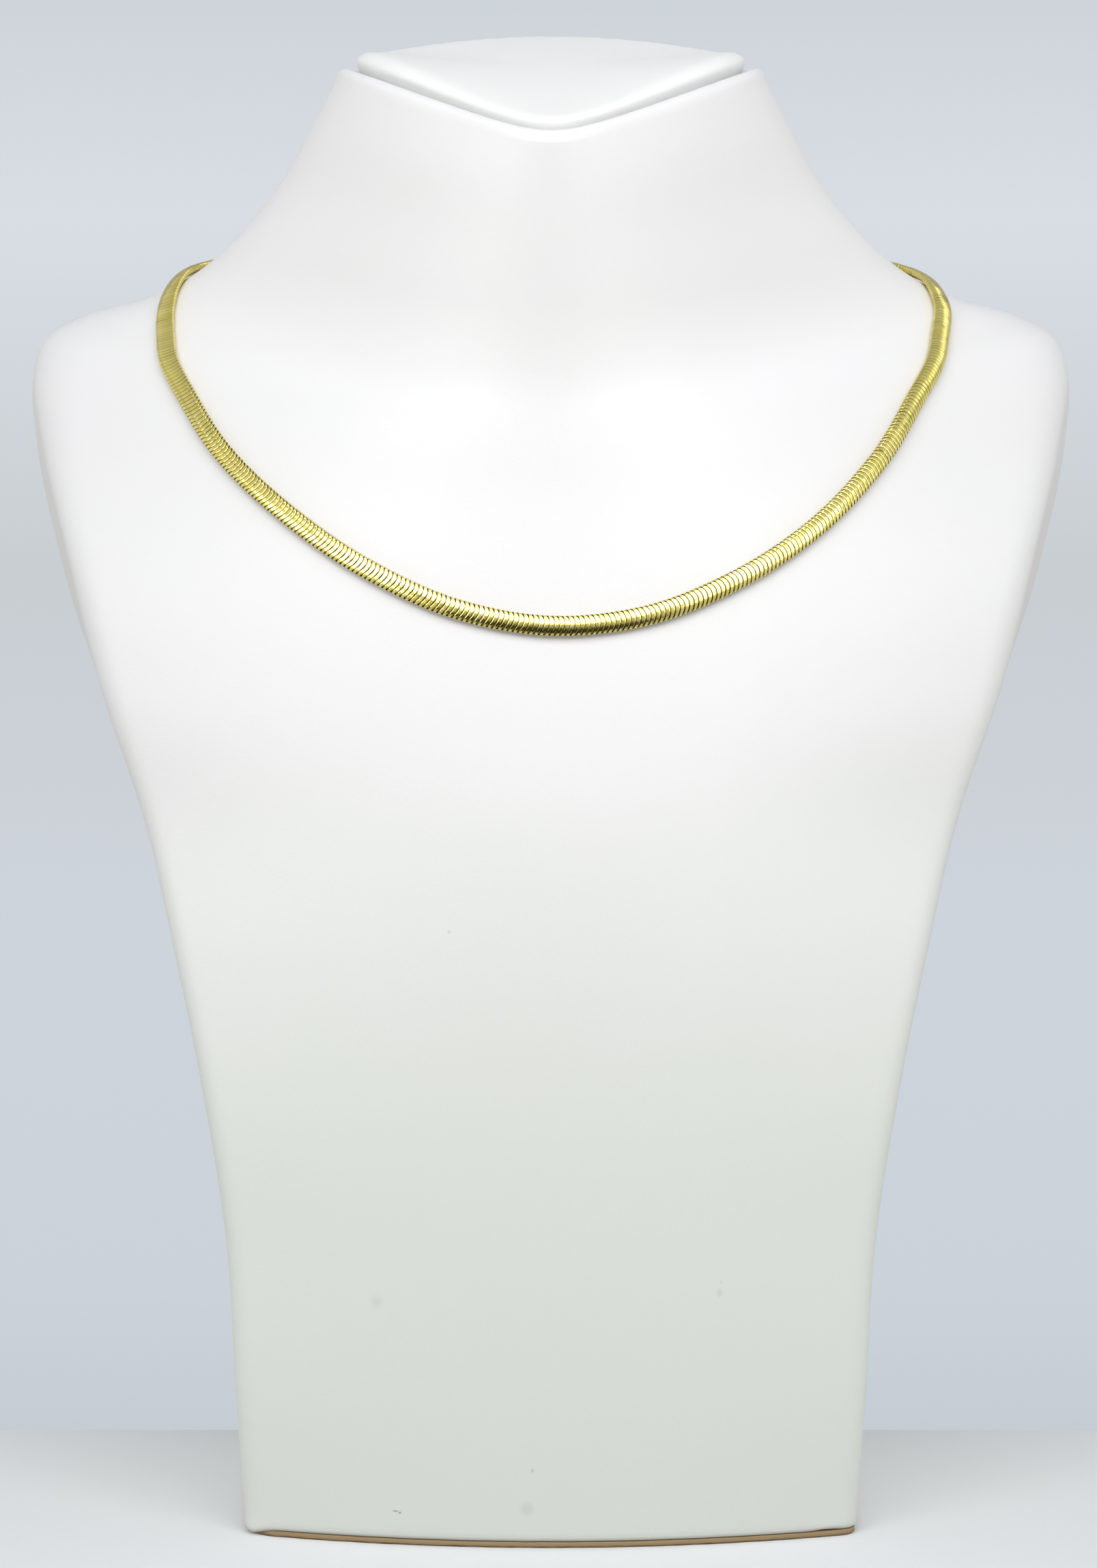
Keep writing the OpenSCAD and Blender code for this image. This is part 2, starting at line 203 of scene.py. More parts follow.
@dataclass(frozen=True)
class Leatherette:
    """White PVC leatherette, embossed with a fine pebble grain: soft, wide highlights on a matt white."""

    name: str
    colour: str = "#F4F2F3"
    greener_white: str = "#EDF1EA"
    stain: str = "#8E8F8A"
    roughness: float = 0.5
    ior: float = 1.5
    # Real grain is about 0.35 mm. It is drawn at 0.55 mm, so that the render can show it
    grain_mm: float = 0.55
    grain: Relief = Relief(0.03, 0.35, 0.06, 0.06)
    cloud_mm: float = 70.0
    cloud_span: Pair = (0.35, 0.7)
    cloud_share: float = 0.3
    # The heights between which the greener, slightly darker white grows from nothing to its full share, down
    # towards the base
    greener_from_mm: float = 175.0
    greener_by_mm: float = 80.0
    mark_core: float = 0.2
    marks: tuple[Mark, ...] = ()

    def material(self) -> Material:
        """Builds the material: white that ages in clouds and turns greener and a little darker towards the
        base, with a pebble grain.

        Returns:
            The material.
        """
        material, tree, shader = new_material(self.name)
        place = add_node(tree, "TexCoord").outputs["Object"]
        wide = {"Scale": 1 / (self.cloud_mm * MM), "Detail": 3.0, "Roughness": 0.55}
        clouds = add_node(tree, "TexNoise", wide, {"Vector": place})
        patchy = dict(zip(RANGE, (*self.cloud_span, 0.0, self.cloud_share)))
        cloudy = add_node(tree, "MapRange", patchy, {"Value": clouds})
        height = add_node(tree, "SeparateXYZ", links={"Vector": place}).outputs["Z"]
        # The white turns greener and a little darker towards the base
        heights = dict(zip(RANGE, (self.greener_from_mm * MM, self.greener_by_mm * MM)))
        low = add_node(tree, "MapRange", heights, {"Value": height})
        share = add_node(tree, "Math", {"operation": "ADD", "use_clamp": True}, {0: low, 1: cloudy})
        whites = {"data_type": "RGBA", UNDER: linear(self.colour), OVER: linear(self.greener_white)}
        colour = add_node(tree, "Mix", whites, {SHARE: share})
        for mark in self.marks:
            middle, reach = ([c * MM for c in values] for values in (mark.middle, mark.reach))
            there = ellipsoid_fade(tree, place, middle, reach, self.mark_core, (mark.strength, 0.0))
            grey = {"data_type": "RGBA", OVER: linear(self.stain)}
            colour = add_node(tree, "Mix", grey, {SHARE: there, UNDER: colour})
        self.add_grain(tree, shader, place)
        feed(tree, shader, {"IOR": self.ior}, {"Base Color": colour})
        return material

    def add_grain(self, tree: Tree, shader: Node, place: Socket) -> None:
        """Adds the pebbles: rounded cells with creases between them, pitted by a noise.

        Args:
            tree: The material's tree.
            shader: Its shader.
            place: Object coordinates.
        """
        fine = 1 / (self.grain_mm * MM)
        pebbles = {"feature": "SMOOTH_F1", "Scale": fine, "Smoothness": 0.6}
        cells = add_node(tree, "TexVoronoi", pebbles, {"Vector": place})
        pits = add_node(tree, "TexNoise", {"Scale": fine / 2, "Detail": 2.0}, {"Vector": place})
        height = add_node(tree, "Math", {"operation": "SUBTRACT"}, {0: pits, 1: cells})
        self.grain.add(tree, shader, height, pits, self.roughness)


@dataclass(frozen=True)
class Hardboard:
    """Raw sawn hardboard: pressed brown fibre, darker towards its face, dull and furry at the cut."""

    name: str = "raw_sawn_hardboard"
    light: str = "#B79C74"
    dark: str = "#5C4526"
    roughness: float = 0.85
    # Width of a fibre, how it is drawn out along the board, and how deep the fibres stand
    fibre_mm: float = 0.6
    fibre_scale: Point = (0.25, 0.25, 1.6)
    fibre_depth_mm: float = 0.05
    height_mm: float = 1.2
    # The parts of the height between which the dark layer ends, and its weight against the fibres
    layer_span: Pair = (0.15, 0.6)
    layer_weight: float = 1.1
    # The sums of layer and fibres at which the board is all dark and all light
    mix_span: Pair = (0.35, 1.25)

    def material(self) -> Material:
        """Builds the material: fibres drawn along the board, mixed from dark at the floor to light.

        Returns:
            The material.
        """
        material, tree, shader = new_material(self.name)
        place = add_node(tree, "TexCoord").outputs["Object"]
        drawn = add_node(tree, "Mapping", {"Scale": self.fibre_scale}, {"Vector": place})
        fine = {"Scale": 1 / (self.fibre_mm * MM), "Detail": 4.0, "Roughness": 0.6}
        fibres = add_node(tree, "TexNoise", fine, {"Vector": drawn})
        height = add_node(tree, "SeparateXYZ", links={"Vector": place}).outputs["Z"]
        heights = [part * self.height_mm * MM for part in self.layer_span]
        layer = add_node(tree, "MapRange", dict(zip(RANGE, heights)), {"Value": height})
        weighed = {"operation": "MULTIPLY_ADD", "use_clamp": True, 1: self.layer_weight}
        share = add_node(tree, "Math", weighed, {0: layer, 2: fibres})
        lifted = add_node(tree, "MapRange", dict(zip(RANGE, self.mix_span)), {"Value": share})
        browns = {"data_type": "RGBA", UNDER: linear(self.dark), OVER: linear(self.light)}
        colour = add_node(tree, "Mix", browns, {SHARE: lifted})
        furry = {"Strength": 0.5, "Distance": self.fibre_depth_mm * MM}
        bump = add_node(tree, "Bump", furry, {"Height": fibres})
        feed(tree, shader, {"Roughness": self.roughness}, {"Base Color": colour, "Normal": bump})
        return material


@dataclass(frozen=True)
class PolishedGold:
    """Yellow gold, rolled to plates and tumble polished: pale lemon lights, and a deep olive painted in its
    seams as their shade.
    """

    name: str
    colour: str = "#F6E68C"
    deep: str = "#ECDA78"
    # Painted shade: the dark olive of the seams between the links and of the core inside the chain
    seam: str = "#5E5020"
    roughness: float = 0.15
    scratch_mm: float = 0.25
    scratch: Relief = Relief(0.01, 0.12, 0.04, 0.05)

    def material(self) -> Material:
        """Builds the material: a tone for each link, seams painted darker as their shade, and tumbling
        scratches.

        Returns:
            The material.
        """
        material, tree, shader = new_material(self.name)
        place = add_node(tree, "TexCoord").outputs["Object"]
        tone, seam = (
            add_node(tree, "Attribute", {"attribute_name": name}).outputs["Fac"] for name in ("tone", "seam")
        )
        golds = {"data_type": "RGBA", UNDER: linear(self.colour), OVER: linear(self.deep)}
        metal = add_node(tree, "Mix", golds, {SHARE: tone})
        # The seam value mixes in the painted seam shade
        olive = {"data_type": "RGBA", OVER: linear(self.seam)}
        colour = add_node(tree, "Mix", olive, {SHARE: seam, UNDER: metal})
        fine = {"Scale": 1 / (self.scratch_mm * MM), "Detail": 3.0}
        scratches = add_node(tree, "TexNoise", fine, {"Vector": place})
        self.scratch.add(tree, shader, scratches, scratches, self.roughness)
        feed(tree, shader, {"Metallic": 1.0}, {"Base Color": colour})
        return material


@dataclass(frozen=True)
class MattPaint:
    """Matt emulsion on the studio's floor: an even, pale ground with no shine."""

    name: str
    colour: str
    roughness: float = 0.9

    def material(self) -> Material:
        """Builds the paint.

        Returns:
            The material.
        """
        material, tree, shader = new_material(self.name)
        feed(tree, shader, {"Base Color": linear(self.colour), "Roughness": self.roughness}, {})
        return material


@dataclass(frozen=True)
class LitPaper:
    """Pale blue-grey background paper, lit by itself: brightest at the height of the shoulders."""

    name: str
    top_mm: float = 320.0
    # part of the height, colour
    stops: Stops = (
        (0.0, "#C6CCD4"),
        (0.1, "#CCD2D9"),
        (0.35, "#CED4DB"),
        (0.6, "#C8CED2"),
        (0.85, "#D9DEE4"),
        (1.0, "#CED4DA"),
    )

    def material(self) -> Material:
        """Builds the paper: its own soft glow, seen from the front only, so that it hides nothing.

        Returns:
            The material.
        """
        material, tree, shader = new_material(self.name)
        tree.nodes.remove(shader)
        place = add_node(tree, "TexCoord").outputs["Object"]
        height = add_node(tree, "SeparateXYZ", links={"Vector": place}).outputs["Z"]
        share = add_node(tree, "MapRange", {"From Max": self.top_mm * MM}, {"Value": height})
        ramp = add_node(tree, "ValToRGB", {"stops": self.stops}, {"Fac": share})
        glow = add_node(tree, "Emission", links={"Color": ramp})
        clear = add_node(tree, "BsdfTransparent")
        behind = add_node(tree, "NewGeometry").outputs["Backfacing"]
        both = add_node(tree, "MixShader", links={0: behind, 1: glow, 2: clear})
        feed(tree, tree.nodes["Material Output"], {}, {"Surface": both})
        return material


def grid_faces(rows: int, columns: int, closed_rows: bool = False) -> Array:
    """Quads of a grid of points whose rows are rings.

    Args:
        rows: Number of rings.
        columns: Points of each ring, whose last joins its first.
        closed_rows: Whether the last ring joins the first as well.

    Returns:
        Four point numbers for each quad.
    """
    row = np.arange(rows if closed_rows else rows - 1)[:, None]
    column = np.arange(columns)[None, :]
    beside = (column + 1) % columns
    here, above = row * columns, (row + 1) % rows * columns
    return np.stack([here + column, here + beside, above + beside, above + column], -1).reshape(-1, 4)


def fan_faces(first: int, columns: int, middle: int) -> Array:
    """Triangles from a ring of points, the first of which is given, to a middle point."""
    column = np.arange(columns)
    return np.stack([first + column, first + (column + 1) % columns, np.full(columns, middle)], -1)


def new_piece(name: str, points: list, faces: list, material: Material) -> Piece:
    """Puts a mesh with one finish into the scene, at the origin.

    Args:
        name: The piece's name.
        points: Its points in metres.
        faces: The point numbers of each face.
        material: Its finish.

    Returns:
        The new object.
    """
    mesh = bpy.data.meshes.new(name)
    mesh.from_pydata(points, [], faces)
    mesh.materials.append(material)
    piece = bpy.data.objects.new(name, mesh)
    bpy.context.scene.collection.objects.link(piece)
    return piece


@dataclass
class Solid:
    """A closed mesh in mm: points, quads, triangles, and named values for each point."""

    points: Array
    quads: Array
    triangles: Array
    values: dict[str, Array]

    @classmethod
    def from_rings(cls, rings: Array, values: dict[str, Array] | None = None) -> "Solid":
        """Closes stacked rings with a fan to the mean point of the first and of the last.

        Args:
            rings: Points as rings, columns and coordinates.
            values: Values for each point of the rings.

        Returns:
            The closed solid, with its faces outwards.
        """
        rows, columns = rings.shape[:2]
        count = rows * columns
        points = np.concatenate([rings.reshape(-1, 3), rings[0].mean(0)[None], rings[-1].mean(0)[None]])
        first = fan_faces(0, columns, count)[:, ::-1]
        last = fan_faces((rows - 1) * columns, columns, count + 1)
        spread = {name: np.append(v, [v.flat[0], v.flat[-1]]) for name, v in (values or {}).items()}
        return cls(points, grid_faces(rows, columns), np.concatenate([first, last]), spread).turned_out()

    @classmethod
    def from_loops(cls, rings: Array) -> "Solid":
        """Joins rings all the way round, last to first, as a torus is."""
        quads = grid_faces(*rings.shape[:2], closed_rows=True)
        return cls(rings.reshape(-1, 3), quads, np.zeros((0, 3), int), {}).turned_out()

    def turned_out(self) -> "Solid":
        """Turns the faces outwards where they point in, so that the signed volume is above zero.

        Returns:
            This solid.
        """
        split = np.concatenate([self.quads[:, [0, 1, 2]], self.quads[:, [0, 2, 3]], self.triangles])
        a, b, c = (self.points[split[:, i]] for i in range(3))
        if np.einsum("ij,ij->i", a, np.cross(b, c)).sum() <= 0:
            self.quads = self.quads[:, ::-1]
            self.triangles = self.triangles[:, ::-1]
        return self

    def piece(self, name: str, material: Material) -> Piece:
        """Puts the solid into the scene as a smooth piece.

        Args:
            name: The piece's name.
            material: Its finish.

        Returns:
            The new object.
        """
        faces = self.quads.tolist() + self.triangles.tolist()
        piece = new_piece(name, (self.points * MM).tolist(), faces, material)
        for key, values in self.values.items():
            layer = piece.data.attributes.new(key, "FLOAT", "POINT")
            layer.data.foreach_set("value", values.astype(np.float32))
        piece.data.shade_smooth()
        piece.data.update()
        return piece


def joined(solids: list[Solid]) -> Solid:
    """Puts several solids into one.

    Args:
        solids: The solids. A named value that one of them lacks is 0 on its points.

    Returns:
        The whole.
    """
    starts = np.cumsum([0] + [len(s.points) for s in solids[:-1]])
    names = sorted({name for s in solids for name in s.values})
    return Solid(
        np.concatenate([s.points for s in solids]),
        np.concatenate([s.quads + at for s, at in zip(solids, starts)]),
        np.concatenate([s.triangles + at for s, at in zip(solids, starts)]),
        {n: np.concatenate([s.values.get(n, np.zeros(len(s.points))) for s in solids]) for n in names},
    )


def declare(piece: Piece, node: str) -> None:
    """Lets a piece ride with the part.

    Args:
        piece: The piece.
        node: The CAD node that it stands for.
    """
    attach(piece, "root")
    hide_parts(node)
    LOG.info("%s: %d faces", piece.name, len(piece.data.polygons))


def curve_through(rows: Array, at: Array) -> Array:
    """Takes every column of a table on a cubic curve through its rows.

    The slope at a row is the mean of the slopes beside it, each weighted by the other's length.

    Args:
        rows: The table, whose first column is the key and grows.
        at: Keys at which the columns are wanted.

    Returns:
        A row of the table for each key wanted.
    """
    key = rows[:, 0]
    length = np.diff(key)
    slope = np.diff(rows, axis=0) / length[:, None]
    inner = slope[:-1] * length[1:, None] + slope[1:] * length[:-1, None]
    inner = inner / (length[1:] + length[:-1])[:, None]
    tangent = np.concatenate([slope[:1], inner, slope[-1:]])
    i = np.clip(np.searchsorted(key, at, side="right") - 1, 0, len(key) - 2)
    t = ((at - key[i]) / length[i])[:, None]
    h = length[i][:, None]
    return (
        rows[i] * (2 * t**3 - 3 * t**2 + 1)
        + tangent[i] * h * (t**3 - 2 * t**2 + t)
        + rows[i + 1] * (3 * t**2 - 2 * t**3)
        + tangent[i + 1] * h * (t**3 - t**2)
    )


def bow(u: Array, pointed: Array) -> Array:
    """Rise of the front bow from 0 in the middle to 1 at the edge, as a hyperbola."""
    return (np.sqrt(u * u + pointed * pointed) - pointed) / (np.sqrt(1 + pointed * pointed) - pointed)


def bow_slope(u: Array, pointed: Array) -> Array:
    """Slope of the front bow."""
    return u / np.sqrt(u * u + pointed * pointed) / (np.sqrt(1 + pointed * pointed) - pointed)


def smooth_step(values: Array, start: float, stop: float) -> Array:
    """Rises from 0 at the start to 1 at the stop, level at both."""
    part = np.clip((values - start) / (stop - start), 0, 1)
    return part * part * (3 - 2 * part)


def unit(vectors: Array) -> Array:
    """Vectors shortened to a length of 1."""
    return vectors / np.linalg.norm(vectors, axis=-1, keepdims=True)


def whole_turn(steps: int) -> Array:
    """Angles of even steps round a whole turn, from 0."""
    return np.arange(steps) * 2 * math.pi / steps


def signed_power(values: Array, power: float) -> Array:
    """Values raised to a power with their signs kept, which fills out a sine's or a cosine's curve."""
    return np.sign(values) * np.abs(values) ** power


@dataclass(frozen=True)
class Steps:
    """Steps of a half section: across the front, round a corner, along the wall and across the back."""

    front: int
    corner: int
    wall: int
    back: int


@dataclass(frozen=True)
class BustForm:
    """The bust's outer form, as a function of the distance up it and the way round it, in mm."""

    board_t: float = 1.2
    seam: float = 0.1
    corner_share: float = 0.47
    hub: Pair = (0.0, 12.0)
    top: float = 343.0
    # The rolled collar rim
    rim_w: float = 4.0
    rim_h: float = 2.5
    sections: tuple[tuple[float, ...], ...] = (
        (0, 64, 0.5, 1.3, 1.3, 1.3, -65.5, -53.5, 34.5, 42.5, 4, 6, 3),
        (30, 66, 0.5, 30, 30, 30, -65.2, -53, 34.5, 42.5, 4, 6, 3),
        (60, 68.3, 1, 60, 60, 60, -64.5, -51, 35, 43.5, 4, 6, 3),
        (90, 73, 1, 90, 90, 90, -63.2, -47.5, 35.5, 44.5, 4, 6, 3),
        (120, 80.4, 2, 120, 120, 120, -60.8, -40.5, 37, 46.5, 4, 6, 3),
        (148, 88, 3, 146.3, 147, 145.9, -57, -31.5, 39.5, 50.5, 4, 6, 3),
        (176, 101, 6.5, 173.4, 172, 174.1, -51.5, -22.5, 42.5, 54.5, 5, 7, 3),
        (205, 109.8, 7.5, 200.6, 197, 203.4, -45, -8.5, 45.5, 58.5, 6, 8, 2.2),
        (227, 114.5, 5.5, 222.9, 215, 224.7, -40.5, 12.5, 48.5, 62, 8, 10, 1.2),
        (241, 115.3, 3.5, 237, 225.5, 237, -38.3, 25.5, 51.5, 64.5, 10, 12, 0.8),
        (252, 111.7, 2, 245.6, 231.5, 244.1, -37.1, 32.5, 53.5, 65.5, 11, 12.5, 0.6),
        (262, 103.1, 1, 250.2, 236, 249.3, -36.3, 36.5, 54.5, 65.5, 12, 13.5, 0.5),
        (276, 88.3, 0.5, 254.4, 243, 254.9, -35.5, 31.5, 52.5, 65, 14, 14.5, 0.5),
        (289, 76.2, 0, 260.6, 250, 262.1, -35.1, 23.5, 48.5, 63.5, 16, 15.5, 0.5),
        (302, 66.6, 0, 269.4, 258, 271.4, -35, 15.5, 44.5, 62, 18, 16.5, 0.5),
        (316, 58.2, 0, 279.6, 267.5, 283.8, -35, 8.5, 40.5, 61, 20, 17, 0.45),
        (330, 51.4, 0, 291.3, 278.3, 295.1, -35, 1.5, 37.5, 60, 20, 17, 0.35),
        (343, 46.2, 0, 300.9, 287.3, 305.3, -35, -3.5, 34.5, 59.5, 20, 17, 0.2),
    )

    @property
    def base_z(self) -> float:
        """Height at which the leatherette starts over the floor."""
        return self.board_t + self.seam

    def half(self, along: Array, steps: Steps) -> Array:
        """Right halves of the sections at given distances, from the front middle to the back middle.

        A front face bowed as a hyperbola, a corner rounded as a parabola, a side wall that leans out,
        a second rounded corner and a back bowed as a parabola. Upper sections dip to the chest.

        Args:
            along: Distances up the bust.
            steps: How finely each stretch is cut.

        Returns:
            Points as sections, columns and coordinates.
        """
        columns = curve_through(np.array(self.sections, float), along).T[1:, :, None]
        half_w, flare, edge_z, front_z, back_z = columns[:5]
        front_y, front_c, back_c, back_y, front_r, back_r, pointed = columns[5:]
        face_w = half_w - flare
        front_rise = front_c - front_y
        back_rise = back_y - back_c
        lean = flare / (back_c - front_c)
        ax = face_w - front_r
        ay = front_y + front_rise * bow(ax / face_w, pointed)
        a_slope = front_rise * bow_slope(ax / face_w, pointed) / face_w
        kx = (face_w + lean * (ay - a_slope * ax - front_c)) / (1 - lean * a_slope)
        ky = ay + a_slope * (kx - ax)
        dx = half_w - back_r
        dy = back_y - back_rise * (dx / half_w) ** 2
        d_slope = -2 * back_rise * dx / half_w**2
        mx = (face_w + lean * (dy - d_slope * dx - front_c)) / (1 - lean * d_slope)
        my = dy + d_slope * (mx - dx)
        by = ky + np.minimum(front_r, self.corner_share * (my - ky))
        ey = my - np.minimum(back_r, self.corner_share * (my - ky))
        bx = face_w + lean * (by - front_c)
        ex = face_w + lean * (ey - front_c)
        x_front = ax * np.linspace(0, 1, steps.front, endpoint=False)[None]
        y_front = front_y + front_rise * bow(x_front / face_w, pointed)
        t = np.linspace(0, 1, steps.corner, endpoint=False)[None]
        ease = ((1 - t) ** 2, 2 * t * (1 - t), t * t)
        bends = ((ax, kx, bx), (ay, ky, by), (ex, mx, dx), (ey, my, dy))
        x_corner, y_corner, x_far, y_far = (sum(e * c for e, c in zip(ease, bend)) for bend in bends)
        t = np.linspace(0, 1, steps.wall, endpoint=False)[None]
        x_wall = bx + (ex - bx) * t
        y_wall = by + (ey - by) * t
        x_back = dx * (1 - np.linspace(0, 1, steps.back)[None])
        y_back = back_y - back_rise * (x_back / half_w) ** 2
        x = np.concatenate([x_front, x_corner, x_wall, x_far, x_back], 1)
        y = np.concatenate([y_front, y_corner, y_wall, y_far, y_back], 1)
        z_front = front_z + (edge_z - front_z) * bow(np.minimum(x / bx, 1), pointed)
        z_back = back_z + (edge_z - back_z) * np.minimum(x / ex, 1) ** 2
        is_front = (np.arange(x.shape[1]) < steps.front + steps.corner)[None]
        return np.stack([x, y, np.where(is_front, z_front, z_back)], -1)

    def rings(self, along: Array, steps: Steps) -> Array:
        """Takes whole sections: each half and its mirror image.

        Args:
            along: Distances up the bust.
            steps: How finely each stretch is cut.

        Returns:
            Points as sections, columns and coordinates.
        """
        half = self.half(along, steps)
        mirror = half[:, -2:0:-1] * np.array([-1.0, 1.0, 1.0])
        return np.concatenate([half, mirror], 1)

    def drawn_in(self, ring: Array, inwards: Array | float, up: float) -> Array:
        """A ring moved inwards to the middle of the collar and up."""
        move = unit(np.array(self.hub) - ring[:, :2]) * inwards
        return ring + np.column_stack([move, np.full(len(ring), up)])

    def plane_z(self, y: Array) -> Array:
        """Takes heights on the tilted plane through the front tip and the back of the collar.

        Args:
            y: Places from front to back.

        Returns:
            The plane's heights there.
        """
        last = self.sections[-1]
        front_z, back_z, front_y, back_y = last[4], last[5], last[6], last[9]
        return front_z + (back_z - front_z) * (y - front_y) / (back_y - front_y)

    def shrunk(self, ring: Array, share: float, lift: float) -> Array:
        """Shrinks a ring to the middle of the collar on a smooth saddle.

        Args:
            ring: The ring.
            share: The part of its size that is left. Its rise over the plane shrinks by the square.
            lift: How far it is raised.

        Returns:
            The smaller ring.
        """
        flat = np.array(self.hub) + (ring[:, :2] - np.array(self.hub)) * share
        rise = (ring[:, 2] - self.plane_z(ring[:, 1])) * share**2
        return np.column_stack([flat, self.plane_z(flat[:, 1]) + rise + lift])


@dataclass(frozen=True)
class Surface:
    """The bust's surface as an even grid over the sections and the way round the right half."""

    form: BustForm
    low: float = 180.0
    high: float = 325.0
    section_step: float = 0.5
    shares: int = 401
    steps: Steps = Steps(60, 24, 8, 40)

    def grid(self) -> Array:
        """Lays the grid: even sections, and even parts of the way from front middle to back middle.

        Returns:
            Points as sections, parts of the way and coordinates.
        """
        along = np.arange(self.low, self.high + self.section_step, self.section_step)
        half = self.form.half(along, self.steps)
        run = np.cumsum(np.linalg.norm(np.diff(half, axis=1), axis=2), 1)
        run = np.concatenate([np.zeros((len(along), 1)), run], 1)
        wanted = np.linspace(0, 1, self.shares)
        rows = [
            np.stack([np.interp(wanted * r[-1], r, h[:, k]) for k in range(3)], -1)
            for r, h in zip(run, half)
        ]
        return np.array(rows)

    def at(self, grid: Array, section: Array, share: Array) -> Array:
        """Finds points between the grid's points, weighted by how near each is.

        Args:
            grid: The grid.
            section: The section of each point.
            share: Its part of the way round, below 0 on the left.

        Returns:
            The points.
        """
        row = (section - self.low) / self.section_step
        column = np.minimum(np.abs(share), 1.0) * (self.shares - 1)
        i = np.clip(row.astype(int), 0, grid.shape[0] - 2)
        j = np.clip(column.astype(int), 0, grid.shape[1] - 2)
        u = (row - i)[:, None]
        v = (column - j)[:, None]
        found = (grid[i, j] * (1 - v) + grid[i, j + 1] * v) * (1 - u)
        found = found + (grid[i + 1, j] * (1 - v) + grid[i + 1, j + 1] * v) * u
        found[:, 0] *= np.where(share < 0, -1.0, 1.0)
        return found


@dataclass(frozen=True)
class Path:
    """A closed middle line in mm: the distance run, the points, and the normals off what it lies on."""

    run: Array
    middle: Array
    normal: Array
    # Length at each end of the chain that its clasp takes up
    reach: float = 14.0
    # How far to each side of a point its direction is taken
    look: float = 0.6

    @property
    def length(self) -> float:
        """Whole way round."""
        return float(self.run[-1])

    def spread(self, values: Array, at: Array) -> Array:
        """Rows of values at given distances run."""
        return np.stack([np.interp(at, self.run, values[:, k]) for k in range(3)], -1)

    def frames(self, at: Array) -> tuple[Array, Array, Array, Array]:
        """Finds the path's own axes.

        Args:
            at: Distances run.

        Returns:
            The middle, the direction, the normal and the width direction there.
        """
        ahead = unit(self.spread(self.middle, at + self.look) - self.spread(self.middle, at - self.look))
        normal = self.spread(self.normal, at)
        normal = unit(normal - ahead * np.sum(normal * ahead, -1, keepdims=True))
        return self.spread(self.middle, at), ahead, normal, np.cross(ahead, normal)


@dataclass(frozen=True)
class ChainRoute:
    """The chain's way round the bust, laid on its surface. Sizes in mm."""

    form: BustForm
    lift: float = 1.2
    # travel is the distance from the lowest point, section is the one it crosses, and round is the part
    # of the way from the front middle (0) to the back middle (1 or -1)
    rows: tuple[Point, ...] = (
        (-247.5, 304, -1),
        (-231, 302.6, -0.92),
        (-214.5, 299.3, -0.84),
        (-198, 295.5, -0.76),
        (-181.5, 291.5, -0.68),
        (-165, 287.5, -0.6),
        (-150.5, 283, -0.531),
        (-141, 274.6, -0.477),
        (-128.5, 260.2, -0.4005),
        (-113.5, 249, -0.3445),
        (-86, 231.2, -0.27),
        (-62, 218.1, -0.203),
        (-40.5, 207.2, -0.139),
        (-20, 198.6, -0.072),
        (0, 194.8, 0),
        (20, 197, 0.073),
        (40.5, 204.6, 0.141),
        (62, 215.3, 0.205),
        (85.5, 229.2, 0.268),
        (112.5, 246.9, 0.3375),
        (128, 257.9, 0.393),
        (142, 271.2, 0.469),
        (148.5, 278, 0.51),
        (168, 286.5, 0.6),
        (184.5, 291, 0.68),
        (201, 295.3, 0.76),
        (217.5, 299.3, 0.84),
        (234, 302.6, 0.92),
        (250.5, 304, 1),
    )
    # How far to each side the surface's slope is taken, in sections and in parts of the way round
    near_section: float = 1.0
    near_share: float = 0.006
    # Width of the smoothing's bell curve, and how many of its widths it reaches to each side
    smooth_mm: float = 1.6
    bell_reach: float = 4.0
    stations: int = 1801

    def path(self) -> Path:
        """Lifts the route off the surface along its normal, and smooths the closed line that it makes.

        Returns:
            The chain's middle line.
        """
        surface = Surface(self.form)
        grid = surface.grid()
        rows = np.array(self.rows, float)
        travel = np.linspace(rows[0, 0], rows[-1, 0], self.stations)
        _, section, share = curve_through(rows, travel).T
        up = surface.at(grid, section + self.near_section, share)
        up = up - surface.at(grid, section - self.near_section, share)
        inner = np.clip(share, -1 + self.near_share, 1 - self.near_share)
        side = surface.at(grid, section, inner + self.near_share)
        side = side - surface.at(grid, section, inner - self.near_share)
        normal = unit(np.cross(side, up))
        middle = self.smoothed(surface.at(grid, section, share) + normal * self.lift, travel)
        run = np.cumsum(np.linalg.norm(np.diff(middle, axis=0), axis=1))
        return Path(np.concatenate([[0.0], run]), middle, unit(self.smoothed(normal, travel)))

    def smoothed(self, values: Array, travel: Array) -> Array:
        """Averages a closed line's values with their neighbours, weighted by a bell curve.

        Args:
            values: A row of values for each station.
            travel: The stations, evenly spaced.

        Returns:
            The smoother rows.
        """
        step = travel[1] - travel[0]
        reach = int(self.bell_reach * self.smooth_mm / step)
        bell = np.exp(-0.5 * (np.arange(-reach, reach + 1) * step / self.smooth_mm) ** 2)
        bell /= bell.sum()
        ring = np.concatenate([values[-reach - 1 : -1], values, values[1 : reach + 1]])
        return np.stack([np.convolve(ring[:, k], bell, mode="valid") for k in range(3)], -1)


